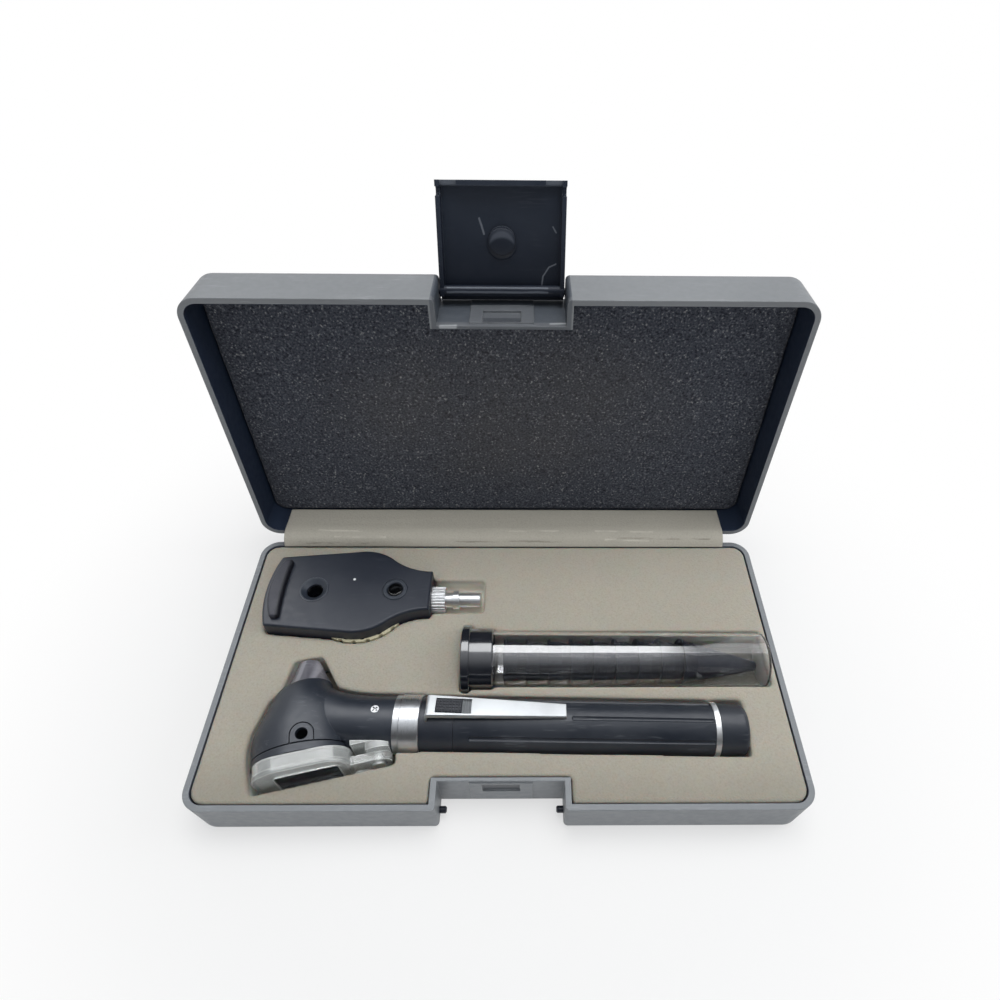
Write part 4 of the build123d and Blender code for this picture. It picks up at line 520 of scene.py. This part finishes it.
def lid_foam_shade():
    """Charcoal foam, a little browner in its middle, with pale cell walls that glint."""
    s = foam_shade("lid_foam", srgb(65, 68, 76), srgb(21, 24, 33), srgb(110, 112, 117), 1250, 0.95, 0.0005)
    half_x, middle_z, half_z = 0.075, 0.075, 0.042
    x, _, z = s.split(s.coord)
    away = s.math("ADD", s.math("POWER", s.math("DIVIDE", x, half_x), 2.0),
                  s.math("POWER", s.math("DIVIDE", s.math("SUBTRACT", z, middle_z), half_z), 2.0))
    uneven = s.ramp(s.noise(30, 3), 0.3, 0.7, 0.5, 1.0)
    middle = s.product(s.ramp(away, 0.0, 1.3, 1.0, 0.0), uneven, 0.25)
    tone = s.mix(middle, s.fed("Base Color"), srgb(92, 87, 80))
    glints = s.product(s.ramp(s.noise(1250, 1.0), 0.62, 0.74), s.ramp(s.noise(420, 1.0), 0.46, 0.62), 0.6)
    s.set(color=s.mix(glints, tone, srgb(160, 159, 155)))
    return s.mat


def scope_plastic():
    """The ophthalmoscope's black shell with its white index dot."""
    s = moulded("scope_black", srgb(20, 26, 38), GREY_WEAR, rough=0.4, grain=800, wear=0.14, edge=0.0003,
                scratch=0.05)
    tone = s.fed("Base Color")
    s.set(color=s.mix(s.spot(DOT_AT, DOT_R), tone, srgb(225, 228, 230)))
    return s.mat


def rest_rubber():
    """The brow rest's rubber, with painted shade along its inner edge."""
    s = moulded("rest_rubber", srgb(40, 41, 50), srgb(84, 85, 94), rough=0.5, grain=1300, depth=0.00004,
                wear=0.1, edge=0.0004, scratch=0.05)
    x, y, _ = s.split(s.coord)
    share = s.math("DIVIDE", s.math("SUBTRACT", y, SCOPE_AT[1] * MM), REST_HALF * MM)
    bow = s.math("MULTIPLY", s.math("POWER", share, 2.0), REST_INNER_BOW * MM)
    inside = s.math("SUBTRACT", x, s.math("ADD", (SCOPE_AT[0] + REST_INNER_X) * MM, bow))
    tone = s.fed("Base Color")
    # painted shade along the inner edge, the shaded side of the raised rest
    s.set(color=s.mix(s.ramp(inside, -1.6 * MM, -0.8 * MM), tone, srgb(12, 14, 22)))
    return s.mat


def cone_plastic():
    """The cone's grey plastic, with painted shade and painted highlights in bands that run from its base to
    its tip.
    """
    s = moulded("cone_plastic", srgb(92, 91, 100), srgb(206, 208, 210), rough=0.3, grain=600, wear=0.3,
                edge=0.0003, scratch=0.15)
    tone = s.fed("Base Color")
    # painted shade and painted highlight in bands along the cone
    across = s.noise(1.0, 1.0, vector=s.stretch((260, 12, 12)))
    tone = s.mix(s.ramp(across, 0.38, 0.50, 0.45, 0.0), tone, srgb(46, 48, 58))
    s.set(color=s.mix(s.ramp(across, 0.52, 0.64, 0.0, 0.55), tone, srgb(168, 168, 176)))
    return s.mat


MATS = {
    "shell_base": shell_plastic("case_base", False),
    "shell_lid": shell_plastic("case_lid", True),
    "latch": latch_plastic(),
    "black": moulded("black_moulded", srgb(21, 26, 36), GREY_WEAR, rough=0.36, grain=800, wear=0.12,
                     edge=0.0003, scratch=0.05).mat,
    "gloss": moulded("black_gloss", srgb(14, 18, 27), GREY_WEAR, rough=0.18, grain=500, depth=0.00001,
                     wear=0.15, edge=0.0003, scratch=0.05, coat=1.0).mat,
    # ring_black: heavy edge wear, also a painted highlight on the rims of the eyepiece and the bezel
    "ring": moulded("ring_black", srgb(36, 42, 52), srgb(132, 138, 146), rough=0.34, grain=800, wear=0.6,
                    edge=0.0004, scratch=0.05).mat,
    "specula": moulded("specula_black", srgb(13, 17, 27), srgb(90, 94, 102), rough=0.5, grain=700, wear=0.1,
                       edge=0.0003, scratch=0.05, specular=0.2).mat,
    "head": moulded("head_plastic", srgb(26, 32, 42), GREY_WEAR, rough=0.38, grain=500, depth=0.000015,
                    wear=0.15, edge=0.0003, scratch=0.15).mat,
    "barrel": moulded("barrel_coat", srgb(20, 26, 36), srgb(140, 143, 148), rough=0.36, grain=900,
                      wear=0.18, edge=0.0003, scratch=0.12, specular=0.45).mat,
    "cream": moulded("wheel_cream", srgb(208, 202, 172), srgb(232, 228, 205), rough=0.45, grain=700,
                     wear=0.2, edge=0.0002, scratch=0.1).mat,
    "grip": moulded("grip_black", srgb(16, 20, 29), GREY_WEAR, rough=0.42, grain=800, wear=0.1,
                    edge=0.0003, scratch=0.05).mat,
    "slider_grey": moulded("slider_grey", srgb(104, 108, 112), srgb(150, 153, 156), rough=0.5, grain=800,
                           wear=0.2, edge=0.0002, scratch=0.1).mat,
    "bright": metal("bright_plate", srgb(240, 241, 242), 0.34, grain=0.1),
    "turned": metal("turned_plate", srgb(206, 208, 211), 0.30, "round", 0.03),
    "clip": metal("clip_plate", srgb(190, 193, 195), 0.34, "x", 0.05),
    "screw": recessed_metal("screw_head", srgb(214, 216, 218), srgb(30, 32, 36)),
    "steel": metal("pin_steel", srgb(185, 188, 192), 0.3),
    "brass": metal("contact_brass", srgb(196, 164, 92), 0.3),
    "clear": tube_plastic(),
    "bracket": clear("bracket_clear", srgb(226, 229, 228), 0.2, 0.30, marked=0.1, edge=0.0005).mat,
    "frosted": clear("frame_clear", srgb(236, 239, 238), 0.16, 0.22, marked=0.08, edge=0.0006).mat,
    # a dark tint on the sight windows that stands for the shade inside the instrument
    "shade_tint": clear("shade_tint_glass", srgb(74, 78, 84), 0.03, 0.0, 1.55, 0.00001).mat,
    "glass": clear("lens_glass", srgb(225, 232, 236), 0.02, 0.0, 1.52, 0.00001).mat,
    "lens": clear("magnifier_glass", srgb(168, 172, 186), 0.02, 0.0, 1.45, 0.00001).mat,
    "mirror": metal("mirror_face", srgb(235, 238, 240), 0.05),
    "fibre": clear("fibre_clear", srgb(225, 230, 235), 0.1, 0.3).mat,
    "jacket": jacket_film(),
    "tray": tray_foam_shade(),
    "flap": flap_shade(),
    "sheet": foam_shade("base_foam", srgb(150, 145, 133), srgb(118, 113, 102), srgb(165, 160, 148),
                        1500, 0.4).mat,
    "lid_foam": lid_foam_shade(),
    "cone": cone_plastic(),
    "scope": scope_plastic(),
    "rest": rest_rubber(),
}

PAINT = {
    "shell_base": ["base_shell"],
    "shell_lid": ["lid_shell"],
    "latch": ["latch"],
    "steel": ["hinge_pin_left", "hinge_pin_right", "scope_wheel_axle", "battery_spring"],
    "black": ["latch_pivot_pins", "catch_pins", "scope_mirror_carrier", "switch_housing", "lamp_socket"],
    "grip": ["switch_slider"],
    "specula": ["specula"],
    "ring": ["scope_eyepiece_ring", "scope_dioptre_bezel"],
    "gloss": ["specula_tube_cap"],
    "scope": ["scope_front_shell", "scope_rear_shell"],
    "rest": ["scope_brow_rest"],
    "head": ["otoscope_head", "insufflation_port", "eyepiece_rim"],
    "barrel": ["handle_barrel", "end_cap"],
    "cone": ["specula_mount"],
    "cream": ["scope_lens_wheel"],
    "slider_grey": ["switch_guide"],
    "bright": ["scope_plug", "scope_plug_collar", "magnifier_pivot", "tail_ring"],
    "screw": ["scope_shell_screws", "neck_screw"],
    "turned": ["neck_ring", "handle_collar"],
    "clip": ["pocket_clip"],
    "brass": ["front_contact"],
    "clear": ["specula_tube"],
    "frosted": ["magnifier_frame"],
    "bracket": ["magnifier_bracket"],
    "glass": ["scope_wheel_lenses", "scope_lamp", "scope_patient_window", "head_lamp"],
    "lens": ["magnifier_lens"],
    # sight windows in the dark tint that stands for the shade inside
    "shade_tint": ["scope_eyepiece_glass", "scope_dioptre_lens"],
    "mirror": ["scope_mirror"],
    "fibre": ["light_guide"],
    "jacket": ["battery_front", "battery_rear"],
    "tray": ["foam_tray"],
    "flap": ["hinge_flap"],
    "sheet": ["foam_sheet"],
    "lid_foam": ["lid_foam"],
}
for key, names in PAINT.items():
    for name in names:
        mesh = NODES[name].data
        mesh.materials.clear()
        mesh.materials.append(MATS[key])


# ---- mesh pieces -----------------------------------------------------------------------------
def linked(name, data):
    """A new object in the scene."""
    ob = bpy.data.objects.new(name, data)
    bpy.context.scene.collection.objects.link(ob)
    return ob


def new_object(name, verts, faces, material):
    mesh = bpy.data.meshes.new(name)
    mesh.from_pydata(verts, [], faces)
    mesh.validate()
    mesh.update()
    mesh.materials.append(material)
    return linked(name, mesh)


def copy_of(node, name, material):
    """A new piece with a CAD node's mesh, at its rest place."""
    mesh = NODES[node].data.copy()
    mesh.name = name
    mesh.materials.clear()
    mesh.materials.append(material)
    return linked(name, mesh)


def baked(ob):
    """The piece's mesh with its modifiers applied."""
    graph = bpy.context.evaluated_depsgraph_get()
    made = bpy.data.meshes.new_from_object(ob.evaluated_get(graph))
    ob.modifiers.clear()
    return made


def remeshed(ob, voxel):
    """Even quads over the whole piece, so that it can be shaped."""
    weld = ob.modifiers.new("weld", "WELD")
    weld.merge_threshold = 1e-6
    cut = ob.modifiers.new("voxels", "REMESH")
    cut.mode = "VOXEL"
    cut.voxel_size = voxel
    cut.adaptivity = 0.0
    cut.use_smooth_shade = True
    made = baked(ob)
    old = ob.data
    material = old.materials[0]
    ob.data = made
    made.materials.clear()
    made.materials.append(material)
    bpy.data.meshes.remove(old)
    return ob


def points(ob):
    co = np.empty(len(ob.data.vertices) * 3)
    ob.data.vertices.foreach_get("co", co)
    return co.reshape(-1, 3)


def normals(ob):
    no = np.empty(len(ob.data.vertices) * 3)
    ob.data.vertex_normals.foreach_get("vector", no)
    return no.reshape(-1, 3)


def put_points(ob, co):
    ob.data.vertices.foreach_set("co", co.astype(np.float32).ravel())
    ob.data.update()


def field(co, scale, seed):
    """Smooth noise at each point, about -1 to 1."""
    return np.array([noise.noise(Vector((x * scale + seed, y * scale - seed, z * scale + 3 * seed)))
                     for x, y, z in co])


def foam_piece(node, name, material, voxel, depth, body):
    """A foam part: softly rounded at its cuts, with an uneven skin that stays inside its solid."""
    ob = remeshed(copy_of(node, name, material), voxel)
    co, no = points(ob), normals(ob)
    swell = 0.6 * field(co, 45, 1.3) + 0.4 * field(co, 160, 4.1)
    co = co + no * ((swell - 1.0) * 0.5 * depth)[:, None]
    put_points(ob, co)
    ob.data.shade_smooth()
    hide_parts(node)
    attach(ob, body)
    return ob


lid_pad = foam_piece("lid_foam", "lid_foam_pad", MATS["lid_foam"], 0.0012, 0.0004, "lid")
tray = foam_piece("foam_tray", "tray_foam_pad", MATS["tray"], 0.0008, 0.0002, "base")
under = foam_piece("foam_sheet", "base_foam_pad", MATS["sheet"], 0.0016, 0.0002, "base")


def flap_line():
    """The flap's path, softened at its bends, and its length, in metres."""
    out = []
    for a, b in zip(FLAP_PATH[:-1], FLAP_PATH[1:]):
        steps = max(2, int(math.dist(a, b) / FLAP_STEP))
        for i in range(steps):
            t = i / steps
            out.append((a[0] + (b[0] - a[0]) * t, a[1] + (b[1] - a[1]) * t))
    out.append(FLAP_PATH[-1])
    line = np.array(out)
    for _ in range(3):
        line[1:-1] = (line[:-2] + 2 * line[1:-1] + line[2:]) / 4
    length = float(np.sum(np.hypot(*np.diff(line, axis=0).T)))
    return line * MM, length * MM


def crease(x, t, at, wander, scale, seed, width, depth):
    """How far a crease along the flap sinks at x, for a share t of the flap's path."""
    off = t - at - wander * noise.noise(Vector((x * scale, seed, 0)))
    return depth * math.exp(-(off / width) ** 2)


def flap_rise(x, t):
    """The flap's unevenness: slow waves and two creases, easing off at its ends."""
    lift = 0.00010 * noise.noise(Vector((x * 26, t * 9.0, 2.0)))
    lift += 0.00005 * noise.noise(Vector((x * 90, t * 30, 5.0)))
    fold = -crease(x, t, at=0.24, wander=0.02, scale=18, seed=0, width=0.016, depth=0.00016)
    if x < SHORT_CREASE_END * MM:
        fold -= crease(x, t, at=0.38, wander=0.03, scale=14, seed=3, width=0.014, depth=0.00012)
    return (lift + fold) * math.sin(math.pi * min(1, t * 1.02))


def hinge_strip():
    """The strip of backed cloth over the hinge gap, lightly creased along its length."""
    line, length = flap_line()
    x0, x1 = FLAP_X[0] * MM, FLAP_X[1] * MM
    across = [x0 + (x1 - x0) * j / FLAP_COLUMNS for j in range(FLAP_COLUMNS + 1)]
    last = len(line) - 1
    verts = [(x, y, z + flap_rise(x, i / last)) for i, (y, z) in enumerate(line) for x in across]
    row = FLAP_COLUMNS + 1
    faces = [(a, a + 1, a + row + 1, a + row)
             for i in range(last) for a in range(i * row, i * row + FLAP_COLUMNS)]
    ob = new_object("hinge_strip", verts, faces, MATS["flap"])
    ob.data.shade_smooth()
    thick = ob.modifiers.new("thickness", "SOLIDIFY")
    thick.thickness = FLAP_T * MM
    thick.offset = 0.0
    ob.data = baked(ob)
    ob.data.shade_smooth()
    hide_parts("hinge_flap")
    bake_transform(ob)


hinge_strip()


# ---- stage, light and camera -----------------------------------------------------------------
FLOOR_HALF = 6.0
FLOOR_Z = -0.0002
FLOOR_MATT = (0.8, 0.8, 0.8, 1)
FLOOR_FADE = (0.10, 0.22)  # metres from the middle, between which the floor turns fully white
FLOOR_GLOW = 0.55  # share of plain white where it is least
FILL_COLOR = (0.93, 0.96, 1.0, 1)
FILL_LEVEL = 0.42
MIRRORED_FROM = (0.0, 0.8, 0.6)  # the direction that mirrored light comes from at its brightest
MIRRORED_SPAN = (-0.42, 0.65)  # cosines to it, between which that light rises
MIRRORED_LEVEL = (0.05, 0.90)
WHITE = (1, 1, 1, 1)


class Light(Graph):
    """The node tree of the floor or the world, which shows each kind of ray something else."""

    def __init__(self, tree, coord):
        super().__init__(tree, coord)
        self.rays = self.node("ShaderNodeLightPath").outputs

    def seen_by(self, *kinds):
        """1 for rays of any of these kinds."""
        seen = self.rays[kinds[0]]
        for kind in kinds[1:]:
            seen = self.math("MAXIMUM", seen, self.rays[kind])
        return seen

    def surface(self, output, share, under, over):
        mixed = self.node("ShaderNodeMixShader", {0: share, 1: under.outputs[0], 2: over.outputs[0]})
        self.node(output, {"Surface": mixed.outputs[0]})


def white_floor():
    """A white floor that only shows the object's shadow close to it."""
    corners = [(x * FLOOR_HALF, y * FLOOR_HALF, FLOOR_Z) for x, y in ((-1, -1), (1, -1), (1, 1), (-1, 1))]
    mat = bpy.data.materials.new("floor_white")
    mat.use_nodes = True
    s = Light(mat.node_tree, "Object")
    matt = s.node("ShaderNodeBsdfDiffuse", {"Color": FLOOR_MATT})
    glow = s.node("ShaderNodeEmission", {"Color": WHITE, "Strength": 1.0})
    away = s.ramp(s.vec("LENGTH", s.coord), *FLOOR_FADE, FLOOR_GLOW)
    seen = s.seen_by("Is Camera Ray", "Is Glossy Ray", "Is Transmission Ray")
    s.surface("ShaderNodeOutputMaterial", s.math("MULTIPLY", seen, away), matt, glow)
    floor = new_object("floor", corners, [(0, 1, 2, 3)], mat)


def studio_world():
    """White to the camera and through glass, even on matt faces, and a slope in mirrored light."""
    world = bpy.data.worlds.new("studio")
    bpy.context.scene.world = world
    world.use_nodes = True
    s = Light(world.node_tree, "Generated")
    slope = s.ramp(s.vec("DOT_PRODUCT", s.coord, MIRRORED_FROM), *MIRRORED_SPAN, *MIRRORED_LEVEL)
    level = s.node("ShaderNodeMix", {"Factor": s.rays["Is Glossy Ray"], "A": FILL_LEVEL, "B": slope})
    fill = s.node("ShaderNodeBackground", {"Color": FILL_COLOR, "Strength": level.outputs["Result"]})
    white = s.node("ShaderNodeBackground", {"Color": WHITE})
    s.surface("ShaderNodeOutputWorld", s.seen_by("Is Camera Ray", "Is Transmission Ray"), fill, white)


def lamp(name, at, aim, size, watts, color, matt=True, gloss=True):
    """A rectangular lamp, aimed at a point, that may be left out of matt or of mirrored light."""
    data = bpy.data.lights.new(name, "AREA")
    data.shape = "RECTANGLE"
    data.size, data.size_y = size
    data.energy = watts
    data.color = color
    ob = linked(name, data)
    ob.location = at
    ob.rotation_mode = "QUATERNION"
    ob.rotation_quaternion = (Vector(aim) - Vector(at)).to_track_quat("-Z", "Y")
    ob.visible_diffuse = matt
    ob.visible_glossy = gloss


white_floor()
studio_world()
lamp("key", (0.08, 0.10, 0.85), (0, 0.0, 0.0), (0.6, 0.45), 4.3, (1.0, 0.99, 0.97), gloss=False)
lamp("back", (0.0, 0.36, 0.77), (0, 0.0, 0.0), (1.2, 0.68), 9.0, (0.98, 0.99, 1.0), matt=False)
lamp("front", (0.0, -0.9, 0.35), (0, 0.0, 0.03), (0.9, 0.4), 1.6, (0.97, 0.985, 1.0), gloss=False)
lamp("right", (0.8, 0.1, 0.5), (0, 0.0, 0.03), (0.4, 0.6), 2.2, (0.96, 0.98, 1.0), gloss=False)


CAMERA_AT = (7.248, -113.004, 238.535)  # millimetres
CAMERA_TURN = (49.103, 1.083, 0.950)  # pitch, yaw and roll in degrees
SENSOR = 36.0
LENS_SHARE = 0.64404  # focal length as a share of the sensor's width
SHIFT = (-0.03154, 0.0004)


def camera():
    """The view of the photograph."""
    pitch, yaw, roll = (math.radians(a) for a in CAMERA_TURN)
    look = Vector((math.sin(yaw) * math.cos(pitch), math.cos(yaw) * math.cos(pitch), -math.sin(pitch)))
    level = Vector((math.cos(yaw), -math.sin(yaw), 0))
    upright = level.cross(look)
    right = math.cos(roll) * level + math.sin(roll) * upright
    up = -math.sin(roll) * level + math.cos(roll) * upright
    data = bpy.data.cameras.new("photo_view")
    data.sensor_width = SENSOR
    data.lens = SENSOR * LENS_SHARE
    data.shift_x, data.shift_y = SHIFT
    data.clip_start = 0.01
    data.clip_end = 50.0
    ob = linked("photo_view", data)
    turn = Matrix((right, up, -look)).transposed()
    ob.matrix_world = Matrix.Translation(Vector(CAMERA_AT) * MM) @ turn.to_4x4()
    bpy.context.scene.camera = ob


camera()
bpy.context.scene.view_settings.view_transform = "Standard"
